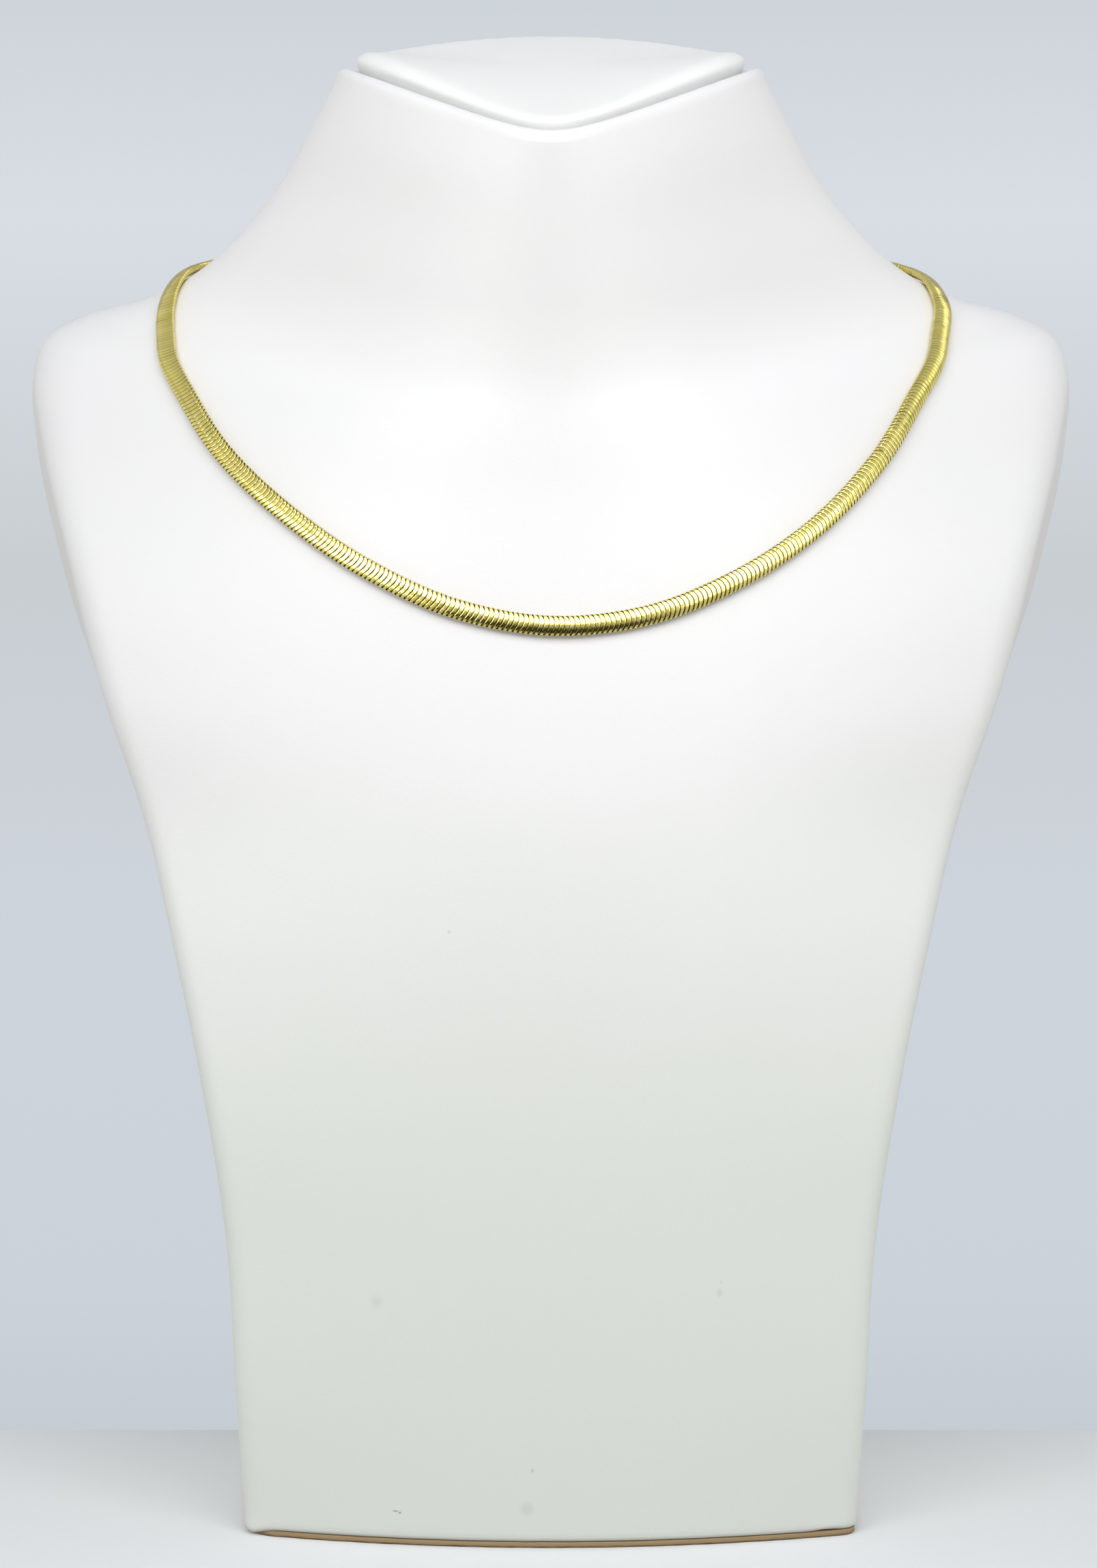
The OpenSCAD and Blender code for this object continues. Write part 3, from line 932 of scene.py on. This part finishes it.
@dataclass(frozen=True)
class SnakeChain:
    """The gold snake chain: wavy plates nested along a hollow oval, on a core painted dark as the shade
    inside it. Sizes in mm.
    """

    path: Path
    width: float = 4.2
    thickness: float = 1.9
    fullness: float = 0.85
    pitch: float = 1.05
    # Slit between two links on the flat of the chain, and how much wider it is at the chain's sides
    slit: float = 0.06
    notch: float = 0.3
    notch_from: float = 0.6
    # The slits close up where the chain bends over the shoulders, between these distances from its middle
    close_from: float = 80.0
    close_by: float = 135.0
    closed_share: float = 0.85
    bevel: float = 0.18
    drop: float = 0.035
    wave: float = 0.52
    # Where round the chain the waves' crests lie, in radians from the middle of its face
    crest: float = -0.2
    sides: int = 18
    # For each of a link's rings, whether it lies deep in the seam or on the flat, which also sets its share
    # of the painted seam shade
    dips: tuple[float, ...] = (1.0, 0.0, 0.0, 1.0)
    shade_core_in: float = 0.28
    shade_core_step: float = 2.0
    wobble: float = 0.02
    seed: int = 11

    def placed(self, run: Array, turn: Array, inwards: Array | float) -> Array:
        """Carries points of the oval along the path.

        The turn is 0 at the side that faces out. Its sine, across the width, and its cosine, off the
        bust, are filled out by a power and scaled to the chain's half width and half thickness.

        Args:
            run: Each point's distance along the path.
            turn: Its angle round it.
            inwards: How far it is drawn in.

        Returns:
            The points.
        """
        across = signed_power(np.sin(turn), self.fullness) * (self.width / 2 - inwards)
        off = signed_power(np.cos(turn), self.fullness) * (self.thickness / 2 - inwards)
        middle, _, normal, side = self.path.frames(run.ravel())
        found = middle + side * across.reshape(-1, 1) + normal * off.reshape(-1, 1)
        return found.reshape(*run.shape, 3)

    def links(self) -> Solid:
        """Makes all the links in one mesh.

        A link's edge is a wave along the chain, cos of twice the turn round it, and its outside is a flat
        strip between two bevels, which narrows towards the chain's sides by a smooth step. Each link is
        tilted and toned a little by chance.

        Returns:
            The links.
        """
        long = self.path.length - 2 * self.path.reach
        count = int(round(long / self.pitch))
        centre = self.path.reach + (np.arange(count) + 0.5) * long / count
        turn = whole_turn(self.sides)
        from_middle = np.abs(centre - self.path.length / 2)
        close = 1 - self.closed_share * smooth_step(from_middle, self.close_from, self.close_by)
        gap = self.slit + self.notch * smooth_step(np.abs(np.sin(turn)), self.notch_from, 1.0)
        half = (self.pitch - close[:, None] * gap) / 2
        along = np.stack([-half, self.bevel - half, half - self.bevel, half], 1)
        deep = np.array(self.dips)[None, :, None] * close[:, None, None]
        chance = np.random.default_rng(self.seed)
        tilt = chance.normal(0.0, self.wobble, (count, 1, 1))
        lean = chance.normal(0.0, self.wobble, (count, 1, 1))
        tone = chance.uniform(0.0, 1.0, (count, 1, 1))
        turn = turn[None, None, :]
        run = centre[:, None, None] + along + self.wave * np.cos(2 * (turn - self.crest))
        inwards = self.drop * deep + along * (tilt * np.cos(turn) + lean * np.sin(turn))
        run, inwards, turn, tone, seam = np.broadcast_arrays(run, inwards, turn, tone, deep)
        points = self.placed(run, turn, inwards).reshape(-1, 3)
        one = grid_faces(len(self.dips), self.sides, closed_rows=True)
        starts = np.arange(count) * len(self.dips) * self.sides
        quads = (one[None] + starts[:, None, None]).reshape(-1, 4)
        # The rings deep in the seams are painted with shade, less where the slits close
        values = {"tone": tone.ravel(), "seam": seam.ravel()}
        return Solid(points, quads, np.zeros((0, 3), int), values).turned_out()

    def core(self) -> Solid:
        """Makes the inside of the chain, as a smaller oval tube under the links, painted dark all over as
        the shade within the chain.

        Returns:
            The core.
        """
        start = self.path.reach - self.wave
        rings = int((self.path.length - 2 * start) / self.shade_core_step)
        run = np.linspace(start, self.path.length - start, rings)[:, None]
        run, turn = np.broadcast_arrays(run, whole_turn(self.sides)[None])
        ones = np.ones(run.shape)
        # The core is painted with the seam shade all over
        return Solid.from_rings(self.placed(run, turn, self.shade_core_in), {"tone": ones, "seam": ones})

    def build(self) -> None:
        """Makes the chain, with crisp edges between the plates' flats and bevels."""
        links = self.links()
        gold = PolishedGold("polished_yellow_gold").material()
        chain = joined([links, self.core()]).piece("snake_links", gold)
        edges = np.zeros(len(chain.data.edges) * 2, int)
        chain.data.edges.foreach_get("vertices", edges)
        edges = edges.reshape(-1, 2)
        ring = edges // self.sides % len(self.dips)
        crisp = chain.data.attributes.new("sharp_edge", "BOOLEAN", "EDGE")
        on_links = edges.max(1) < len(links.points)
        crisp.data.foreach_set("value", (ring[:, 0] == ring[:, 1]) & on_links)
        declare(chain, "snake_chain")


@dataclass(frozen=True)
class Clasp:
    """The plain fastening at the nape: end caps with tabs, a ring and a lobster clasp. Sizes in mm."""

    path: Path
    cap_l: float = 5.0
    cap_w: float = 4.66
    cap_t: float = 2.26
    wall: float = 0.17
    tab_l: float = 2.0
    tab_w: float = 2.0
    tab_t: float = 1.0
    ring_r: float = 1.7
    wire_r: float = 0.45
    hook_t: float = 1.8
    nose_r: float = 2.4
    eye_r: float = 1.3
    tail_r: float = 1.2
    # along, half width, half thickness of the gate's lever, and its place on the hook
    lever_rows: tuple[Point, ...] = (
        (-3.2, 0.1, 0.1),
        (-3.0, 0.4, 0.35),
        (-2.4, 0.55, 0.5),
        (-1.6, 0.45, 0.4),
        (-1.3, 0.1, 0.1),
    )
    lever_out: float = 0.75
    lever_sunk: float = 0.25
    # How square the sections are: 1 is an oval, and less is squarer
    cap_power: float = 0.75
    tab_power: float = 0.45
    hook_power: float = 0.7
    lever_power: float = 0.9
    sides: int = 40
    ring_steps: int = 48
    wire_steps: int = 14
    hook_steps: int = 96
    hook_sides: int = 16

    def placed(self, points: Array, run: float = 0.0, mirrored: bool = False) -> Array:
        """Carries points to a place on the path.

        Args:
            points: Points given along the chain, across it and off the bust.
            run: The place, as a distance along the path.
            mirrored: Whether they are turned end for end.

        Returns:
            The points in their place.
        """
        middle, ahead, normal, side = (v[0] for v in self.path.frames(np.array([run])))
        flip = -1.0 if mirrored else 1.0
        return middle + points[..., :1] * ahead * flip - points[..., 1:2] * side + points[..., 2:] * normal

    def ovals(self, rows: tuple[Point, ...], power: float) -> Array:
        """Makes rings across the clasp's length.

        Args:
            rows: Distance along, half width and half thickness of each.
            power: How square they are.

        Returns:
            Points as rings, columns and coordinates.
        """
        turn = whole_turn(self.sides)
        along, width, height = (column[:, None] for column in np.array(rows).T)
        across = width * signed_power(np.cos(turn), power)
        off = height * signed_power(np.sin(turn), power)
        return np.stack([np.broadcast_to(along, across.shape), across, off], -1)

    def cap(self) -> Array:
        """Makes an end cap, from its closed inside, round its rolled mouth and on to its domed end.

        Returns:
            Its rings.
        """
        w, t, end = self.cap_w / 2, self.cap_t / 2, self.cap_l
        rows = (
            (1.5, 0.3 * w, 0.3 * t),
            (1.5, w - self.wall, t - self.wall),
            (-0.75, w - self.wall, t - self.wall),
            (-0.85, w - 0.04, t - 0.04),
            (-0.75, w + 0.05, t + 0.05),
            (-0.5, w + 0.05, t + 0.05),
            (-0.35, w - 0.04, t - 0.04),
            (0.0, w - 0.04, t - 0.04),
            (end - 0.7, w - 0.06, t - 0.06),
            (end - 0.35, 0.93 * w, 0.9 * t),
            (end - 0.1, 0.76 * w, 0.7 * t),
            (end, 0.45 * w, 0.4 * t),
        )
        return self.ovals(rows, self.cap_power)

    def tab(self) -> Array:
        """Makes the flat tab that leaves an end cap, with rounded edges.

        Returns:
            Its rings.
        """
        w, t, end = self.tab_w / 2, self.tab_t / 2, self.cap_l + self.tab_l
        rows = (
            (self.cap_l - 0.5, w, t),
            (end - 0.5, w, t),
            (end - 0.15, 0.85 * w, 0.95 * t),
            (end, 0.55 * w, 0.6 * t),
        )
        return self.ovals(rows, self.tab_power)

    def ring(self, middle_x: float) -> Array:
        """Makes the ring: a torus of round wire that lies flat on the nape.

        Args:
            middle_x: Where its middle lies along the clasp.

        Returns:
            Its loops of points.
        """
        turn = whole_turn(self.ring_steps)[:, None]
        round_wire = whole_turn(self.wire_steps)[None]
        out = self.ring_r + self.wire_r * np.cos(round_wire)
        rise = np.broadcast_to(self.wire_r * np.sin(round_wire), (self.ring_steps, self.wire_steps))
        return np.stack([middle_x + out * np.cos(turn), out * np.sin(turn), rise], -1)

    def hook(self, nose_x: float, tail_x: float) -> Array:
        """Makes the lobster clasp: a ring of rounded cross-sections between its eye and its outline.

        The outline is the hull of the nose circle and the tail circle, found along each ray from the nose.

        Args:
            nose_x: Where the nose circle's middle lies along the clasp.
            tail_x: Where the tail circle's middle lies.

        Returns:
            Its loops of points.
        """
        turn = whole_turn(self.hook_steps)
        far = nose_x - tail_x
        lean = math.asin((self.nose_r - self.tail_r) / far)
        towards = np.abs(turn - math.pi)
        flank = math.pi / 2 - lean
        straight = self.nose_r / np.cos(np.clip(flank - towards, 0, flank))
        out = np.where(towards < flank, straight, self.nose_r)
        under = np.clip(self.tail_r**2 - (far * np.sin(towards)) ** 2, 0, None)
        tail_end = far * np.cos(towards) + np.sqrt(under)
        edge_turn = math.atan2(self.tail_r * math.cos(lean), far - self.tail_r * math.sin(lean))
        out = np.where(towards < edge_turn, tail_end, out)[:, None]
        section = whole_turn(self.hook_sides)[None]
        share = 0.5 - 0.5 * signed_power(np.cos(section), self.hook_power)
        rise = self.hook_t / 2 * signed_power(np.sin(section), self.hook_power)
        radius = self.eye_r + (out - self.eye_r) * share
        x = nose_x + radius * np.cos(turn)[:, None]
        y = radius * np.sin(turn)[:, None]
        return np.stack([x, y, np.broadcast_to(rise, radius.shape)], -1)

    def lever(self, nose_x: float) -> Array:
        """Thumb piece of the clasp's gate, a small raised drop on its flank."""
        at = np.array([nose_x, self.tail_r + self.lever_out, self.hook_t / 2 - self.lever_sunk])
        return self.ovals(self.lever_rows, self.lever_power) + at

    def build(self) -> None:
        """Makes the clasp as one piece."""
        reach = self.path.reach
        tab_end = reach - self.cap_l - self.tab_l
        ring_x = tab_end - self.ring_r
        nose_x = ring_x - self.ring_r - self.eye_r + self.wire_r
        tail_x = -tab_end - self.wire_r + self.tail_r
        parts = [
            Solid.from_rings(self.placed(rings, run, mirrored))
            for run, mirrored in ((self.path.length - reach, False), (reach, True))
            for rings in (self.cap(), self.tab())
        ]
        parts += [Solid.from_loops(self.placed(at)) for at in (self.ring(ring_x), self.hook(nose_x, tail_x))]
        parts.append(Solid.from_rings(self.placed(self.lever(nose_x))))
        clasp = joined(parts).piece("lobster_clasp", PolishedGold("polished_cast_gold").material())
        declare(clasp, "clasp")


@dataclass(frozen=True)
class EdgeFlaw:
    """A place where the leatherette's lower edge hangs or lifts: its middle, half width and rise in mm."""

    x: float
    y: float
    reach: float
    rise: float
    out: float = 0.0

    def near(self, x: Array, y: Array) -> Array:
        """How near points are to its middle, from 0 to 1, as a bell curve."""
        return np.exp(-((x - self.x) ** 2 + (y - self.y) ** 2) / (2 * self.reach**2))


@dataclass(frozen=True)
class BustCover:
    """The leatherette over the bust, from its turned-in foot to the rolled collar and the pad's well."""

    form: BustForm
    well_z: float = 0.1
    steps: Steps = Steps(40, 12, 5, 24)
    # Where the sections are cut: two at the foot, and then by one step to the chest and by another over it
    foot_rows: Pair = (0.9, 2.0)
    low_from: float = 4.0
    low_step: float = 3.0
    chest: float = 200.0
    high_step: float = 1.5
    # Parts of the rim's width inwards and of its height up, and how many rings each stretch gets
    rim: tuple[Pair, ...] = (
        (0.0, 0.0),
        (0.1, 0.55),
        (0.3, 0.9),
        (0.57, 1.0),
        (0.82, 0.8),
        (0.95, 0.4),
        (1.0, 0.1),
    )
    rim_steps: int = 4
    # inwards and up in mm, and the sizes of the rings on the well's floor
    foot: tuple[Pair, ...] = ((7.0, 0.02), (2.0, 0.0), (0.7, 0.03), (0.2, 0.3))
    well: tuple[float, ...] = (0.85, 0.7, 0.5, 0.3, 0.12)
    # How far up the bust the flaws fade out
    flaw_h: float = 3.5
    flaws: tuple[EdgeFlaw, ...] = (
        EdgeFlaw(-62.4, -53.5, 2.2, -0.85, 0.35),
        EdgeFlaw(57.0, -55.9, 1.6, 0.35, 0.1),
        EdgeFlaw(59.8, -55.5, 0.7, 0.6, 0.15),
        EdgeFlaw(61.6, -54.9, 0.6, 0.5, 0.1),
    )
    marks: tuple[Mark, ...] = (
        Mark((-32.0, -63, 7.1), (0.9, 3.0, 0.28), 0.75),
        Mark((-31.1, -63, 6.8), (0.45, 3.0, 0.35), 0.8),
        Mark((-4.9, -65.4, 8.3), (2.0, 3.0, 2.2), 0.13),
        Mark((-3.8, -65.3, 16.2), (0.5, 3.0, 0.5), 0.35),
        Mark((-35.9, -62, 50.5), (1.9, 4.0, 2.0), 0.12),
        Mark((34.6, -62, 52.5), (0.9, 4.0, 1.4), 0.16),
        Mark((34.9, -62, 54.6), (0.4, 4.0, 0.5), 0.14),
        Mark((-20.8, -59.5, 126.7), (0.6, 4.0, 0.6), 0.2),
    )

    def collar(self, top: Array) -> Array:
        """Makes the rolled rim, on a smooth curve through its points, and the well's floor.

        Args:
            top: The highest ring of the bust.

        Returns:
            Their rings.
        """
        form = self.form
        last = len(self.rim) - 1
        knots = np.column_stack([np.arange(last + 1), np.array(self.rim)])
        fine = curve_through(knots, np.linspace(0, last, self.rim_steps * last + 1))[1:]
        rim = [form.drawn_in(top, inwards * form.rim_w, up * form.rim_h) for _, inwards, up in fine]
        well = form.drawn_in(top, form.rim_w, 0.0)
        return np.array(rim + [form.shrunk(well, share, self.well_z * form.rim_h) for share in self.well])

    def worn(self, rings: Array) -> Array:
        """Gives the lower edge its flaws: each fades as a bell curve round its middle and up the bust.

        Args:
            rings: The rings of the bust.

        Returns:
            The worn rings.
        """
        x, y, z = rings[..., 0], rings[..., 1], rings[..., 2]
        fade = np.clip(1 - (z - self.form.base_z) / self.flaw_h, 0, 1) ** 2
        found = rings.copy()
        for flaw in self.flaws:
            near = flaw.near(x, y) * fade
            found[..., 2] += flaw.rise * near
            found[..., 0] += math.copysign(flaw.out, flaw.x) * near
            found[..., 1] -= flaw.out * near
        return found

    def build(self) -> None:
        """Makes the cover, from its foot, turned in under the bust, to the well."""
        low = np.arange(self.low_from, self.chest, self.low_step)
        high = np.arange(self.chest, self.form.top, self.high_step)
        body = self.form.rings(np.concatenate([self.foot_rows, low, high, [self.form.top]]), self.steps)
        lowest = self.form.rings(np.array([0.0]), self.steps)[0]
        foot = [self.form.drawn_in(lowest, inwards, up) for inwards, up in self.foot]
        rings = np.concatenate([self.worn(np.concatenate([foot, body])), self.collar(body[-1])])
        finish = Leatherette("white_pvc_leatherette", marks=self.marks)
        cover = Solid.from_rings(rings).piece("leatherette_cover", finish.material())
        declare(cover, "bust_body")


@dataclass(frozen=True)
class NeckPad:
    """The padded pad in the collar: foam under leatherette, swollen by a short cloth simulation."""

    form: BustForm
    pad_h: float = 3.7
    crown: float = 1.5
    gap: float = 0.5
    floor: float = 0.5
    steps: Steps = Steps(22, 9, 3, 14)
    # inwards, part of the height
    edge: tuple[Pair, ...] = ((0.3, 0.5), (0, 0.66), (0.4, 0.8), (1.3, 0.91), (2.8, 1.0))
    under: tuple[float, ...] = (0.2, 0.5, 0.8)
    over: tuple[float, ...] = (0.94, 0.86, 0.76, 0.64, 0.5, 0.36, 0.22, 0.1)
    tuck: float = 0.9
    tuck_up: float = 0.25
    # The simulation: the rings of the underside and the tuck that it holds, its pressure, the most that
    # it may move a point in mm, and how long it runs
    held_rings: int = 5
    pressure: float = 4.0
    swell_cap: float = 0.5
    frames: int = 12

    def rings(self) -> Array:
        """Lays rings from the middle of the underside out, up the side, round the edge and over the crown.

        Returns:
            Points as rings, columns and coordinates.
        """
        form = self.form
        top = form.rings(np.array([form.top]), self.steps)[0]
        side = form.drawn_in(top, form.rim_w + self.gap, 0.0)
        height = form.rim_h + self.pad_h
        crest = form.drawn_in(side, self.edge[-1][0], 0.0)
        under = [form.shrunk(side, share, self.floor) for share in self.under]
        wall = ((self.tuck, self.floor / height), (self.tuck, self.tuck_up))
        rounded = [form.drawn_in(side, inwards, up * height) for inwards, up in wall + self.edge]
        over = [form.shrunk(crest, share, height + self.crown * (1 - share * share)) for share in self.over]
        return np.array(under + rounded + over)

    def swell(self, pad: Piece) -> None:
        """Blows the pad up a little as cloth, with its lower side held, and caps how far it moves.

        Args:
            pad: The pad.
        """
        rest = np.zeros(len(pad.data.vertices) * 3)
        pad.data.vertices.foreach_get("co", rest)
        rest = rest.reshape(-1, 3)
        columns = self.rings().shape[1]
        held = pad.vertex_groups.new(name="held")
        # The middle of the underside is the last point but one
        held.add(list(range(self.held_rings * columns)) + [len(rest) - 2], 1.0, "REPLACE")
        cloth = pad.modifiers.new("swell", "CLOTH")
        cloth.settings.vertex_group_mass = held.name
        cloth.settings.use_pressure = True
        cloth.settings.uniform_pressure_force = self.pressure
        cloth.settings.effector_weights.gravity = 0.0
        cloth.point_cache.frame_start = 1
        cloth.point_cache.frame_end = self.frames
        for number in range(1, self.frames + 1):
            bpy.context.scene.frame_set(number)
        shown = pad.evaluated_get(bpy.context.evaluated_depsgraph_get())
        blown = np.zeros(rest.size)
        shown.data.vertices.foreach_get("co", blown)
        pad.modifiers.remove(cloth)
        pad.vertex_groups.remove(held)
        bpy.context.scene.frame_set(1)
        move = blown.reshape(-1, 3) - rest
        far = np.linalg.norm(move, axis=1, keepdims=True)
        LOG.info("pad swelled by up to %.2f mm before its cap", far.max() / MM)
        cap = self.swell_cap * MM
        move = move * cap / (cap + far)
        pad.data.vertices.foreach_set("co", (rest + move).ravel())
        pad.data.update()

    def build(self) -> None:
        """Makes the pad, swells it and rounds it once by subdivision."""
        # The pad's white is a little lighter than the cover's: painted light on the pad's top, over the
        # leatherette's own white
        finish = Leatherette("white_pvc_leatherette_pad_painted_lighter", colour="#F6F6F5", roughness=0.62, cloud_mm=50.0)
        pad = Solid.from_rings(self.rings()).piece("collar_pad", finish.material())
        self.swell(pad)
        finer = pad.modifiers.new("finer", "SUBSURF")
        finer.levels = finer.render_levels = 1
        declare(pad, "neck_cap")


@dataclass(frozen=True)
class BaseBoard:
    """The raw hardboard under the bust, sawn a little inside the leatherette, with a rough edge."""

    form: BustForm
    inset: float = 0.35
    steps: Steps = Steps(60, 12, 24, 40)
    # inwards, part of the thickness
    profile: tuple[Pair, ...] = ((0.2, 0.0), (0.0, 0.12), (0.05, 0.5), (0.0, 0.88), (0.15, 1.0))
    # The saw's waves: depth in mm, how many there are round the board, and where they start in radians
    waves: tuple[Point, ...] = ((0.05, 37.0, 0.0), (0.04, 83.0, 1.0))
    tucked: EdgeFlaw = EdgeFlaw(-63.0, -53.5, 2.4, 1.3)

    def build(self) -> None:
        """Makes the board: rings up its sawn edge, roughened by waves of two lengths."""
        outline = self.form.rings(np.array([0.0]), self.steps)[0]
        x, y = outline[:, 0], outline[:, 1]
        turn = np.arctan2(y, x)
        deep = self.inset + sum(depth * np.sin(count * turn + start) for depth, count, start in self.waves)
        deep = deep + self.tucked.rise * self.tucked.near(x, y)
        rings = []
        for inwards, part in self.profile:
            ring = self.form.drawn_in(outline, (deep + inwards)[:, None], 0.0)
            ring[:, 2] = part * self.form.board_t
            rings.append(ring)
        board = Solid.from_rings(np.array(rings)).piece("hardboard_base", Hardboard().material())
        declare(board, "base_board")


@dataclass(frozen=True)
class Softbox:
    """A rectangular soft light: its middle, the point it faces, its width and height, and its watts."""

    name: str
    at: Point
    towards: Point
    size: Pair
    watts: float
    # Whether it is seen in reflections alone, and throws no soft light
    mirrored_only: bool = False

    def add(self) -> None:
        """Adds the light."""
        data = bpy.data.lights.new(self.name, "AREA")
        data.shape = "RECTANGLE"
        data.size, data.size_y = self.size
        data.energy = self.watts
        lamp = bpy.data.objects.new(self.name, data)
        lamp.location = self.at
        aim = Vector(self.towards) - Vector(self.at)
        lamp.rotation_euler = aim.to_track_quat("-Z", "Y").to_euler()
        lamp.visible_camera = False
        lamp.visible_diffuse = not self.mirrored_only
        lamp.visible_glossy = self.mirrored_only
        bpy.context.scene.collection.objects.link(lamp)


@dataclass(frozen=True)
class Card:
    """A bright card that only reflections show. Angles are in degrees, seen from the chain."""

    name: str
    # To the right of the camera's side, and up
    side: float
    up: float
    # What it covers in width and height
    across: Pair
    light: float

    def softbox(self, middle: Point, far: float) -> Softbox:
        """Turns the card to a light.

        Args:
            middle: The point that the cards stand round.
            far: How far off they stand.

        Returns:
            The light.
        """
        turn, rise = math.radians(self.side), math.radians(self.up)
        away = np.array([math.sin(turn) * math.cos(rise), -math.cos(turn) * math.cos(rise), math.sin(rise)])
        wide, high = (2 * far * math.tan(math.radians(a) / 2) for a in self.across)
        place = tuple(np.array(middle) + away * far)
        return Softbox(self.name, place, middle, (wide, high), self.light * math.pi * wide * high, True)


@dataclass(frozen=True)
class Studio:
    """The camera at the photograph's angle, a pale floor and paper, and soft light. Metres and degrees."""

    camera_at: Point = (-0.0005, -1.1935, 0.2744)
    pitch_down: float = 5.9
    lens_mm: float = 128.6
    clip_start: float = 0.01
    floor_reach: float = 30.0
    # The background paper: half its width, and its y and z from the floor up. It leans back behind
    # the shoulders
    paper_wide: float = 3.0
    paper: tuple[Pair, ...] = ((0.0465, 0.0), (0.0465, 0.06), (0.085, 0.2), (0.085, 2.5))
    sky_strength: float = 0.95
    # part of the way from straight down to straight up, colour
    sky_stops: Stops = (
        (0.0, "#A9A8A4"),
        (0.45, "#B9B9B6"),
        (0.55, "#BEC0C1"),
        (0.8, "#9A9DA1"),
        (1.0, "#8A8D91"),
    )
    # The dark of the room behind the camera: its direction, its reach, the part of it that is darkest,
    # and how much light is left there
    dark_at: Point = (-0.02, -1.0, -0.2)
    dark_reach: Point = (0.56, 1.0, 0.5)
    dark_core: float = 0.8
    dark_share: float = 0.08
    # How much brighter the room is far to the left and right
    side_gain: float = 0.9
    softboxes: tuple[Softbox, ...] = (
        Softbox("key_softbox", (0.0, -0.74, 0.92), (0.0, 0.0, 0.22), (1.5, 0.7), 9.1),
        Softbox("fill_softbox", (0.0, -1.3, 0.1), (0.0, 0.0, 0.12), (0.8, 0.4), 1.1),
    )
    # The point that the cards stand round, how far off, and the cards
    cards_round: Point = (0.0, -0.02, 0.22)
    card_far: float = 1.5
    cards: tuple[Card, ...] = (
        Card("front_card", -2.0, 43.0, (64.0, 30.0), 4.5),
        Card("left_card", -53.0, 16.0, (38.0, 26.0), 3.5),
        Card("right_card", 47.0, 25.0, (36.0, 28.0), 3.0),
        Card("top_card", 0.0, 72.0, (26.0, 30.0), 2.5),
        Card("side_card", 120.0, 43.0, (44.0, 11.0), 0.75),
        Card("ceiling_card", 0.0, 90.0, (110.0, 110.0), 0.25),
    )

    def camera(self) -> None:
        """Adds the camera: level in roll, and turned down to the bust."""
        data = bpy.data.cameras.new("camera")
        data.lens = self.lens_mm
        data.clip_start = self.clip_start
        camera = bpy.data.objects.new("camera", data)
        camera.location = self.camera_at
        camera.rotation_euler = (math.radians(90 - self.pitch_down), 0.0, 0.0)
        bpy.context.scene.collection.objects.link(camera)
        bpy.context.scene.camera = camera

    def sheet(
        self, name: str, wide: float, profile: tuple[Pair, ...], paint: MattPaint | LitPaper, rays: str
    ) -> None:
        """Adds a stage sheet that runs straight from left to right.

        Args:
            name: The sheet's name.
            wide: Half its width.
            profile: The y and z of its edges and creases.
            paint: Its finish.
            rays: The kinds of ray that pass through it.
        """
        corners = [(x, y, z) for y, z in profile for x in (-wide, wide)]
        faces = [(2 * i, 2 * i + 1, 2 * i + 3, 2 * i + 2) for i in range(len(profile) - 1)]
        piece = new_piece(name, corners, faces, paint.material())
        for ray in rays.split():
            setattr(piece, "visible_" + ray, False)

    def stage(self) -> None:
        """Adds the floor and the paper behind, which lights and reflections pass through."""
        ground = ((-self.floor_reach, 0.0), (self.floor_reach, 0.0))
        paint = MattPaint("pale_floor_paint", "#EAECED")
        self.sheet("floor", self.floor_reach, ground, paint, "diffuse glossy")
        paper = LitPaper("pale_wall_paper")
        self.sheet("wall", self.paper_wide, self.paper, paper, "diffuse glossy transmission shadow")

    def sky(self) -> None:
        """Fills the room with soft grey light: brighter to the sides, and dark behind the camera."""
        world = bpy.data.worlds.new("room")
        bpy.context.scene.world = world
        world.use_nodes = True
        tree = world.node_tree
        place = add_node(tree, "TexCoord").outputs["Generated"]
        parts = add_node(tree, "SeparateXYZ", links={"Vector": place}).outputs
        share = add_node(tree, "MapRange", dict(zip(RANGE, (-1.0, 1.0))), {"Value": parts["Z"]})
        ramp = add_node(tree, "ValToRGB", {"stops": self.sky_stops}, {"Fac": share})
        lit = (self.dark_share, 1.0)
        left = ellipsoid_fade(tree, place, self.dark_at, self.dark_reach, self.dark_core, lit)
        squared = add_node(tree, "Math", {"operation": "MULTIPLY"}, {0: parts["X"], 1: parts["X"]})
        gain = {"operation": "MULTIPLY_ADD", 1: self.side_gain, 2: 1.0}
        sides = add_node(tree, "Math", gain, {0: squared})
        strength = add_node(tree, "Math", {"operation": "MULTIPLY"}, {0: left, 1: sides})
        light = add_node(tree, "VectorMath", {"operation": "SCALE"}, {0: ramp, "Scale": strength})
        feed(tree, tree.nodes["Background"], {"Strength": self.sky_strength}, {"Color": light})

    def build(self) -> None:
        """Sets the stage, the lights and the plain display of colours."""
        self.stage()
        self.sky()
        for light in self.softboxes:
            light.add()
        for card in self.cards:
            card.softbox(self.cards_round, self.card_far).add()
        scene = bpy.context.scene
        scene.view_settings.view_transform = "Standard"
        scene.view_settings.look = "None"


def main() -> None:
    """Builds the object from the bust outwards, then the studio round it."""
    logging.basicConfig(level=logging.INFO, format="%(message)s")
    studio = Studio()
    studio.camera()
    form = BustForm()
    for part in (BustCover(form), NeckPad(form), BaseBoard(form)):
        part.build()
    path = ChainRoute(form).path()
    for part in (SnakeChain(path), Clasp(path)):
        part.build()
    studio.build()


if __name__ == "__main__":
    main()
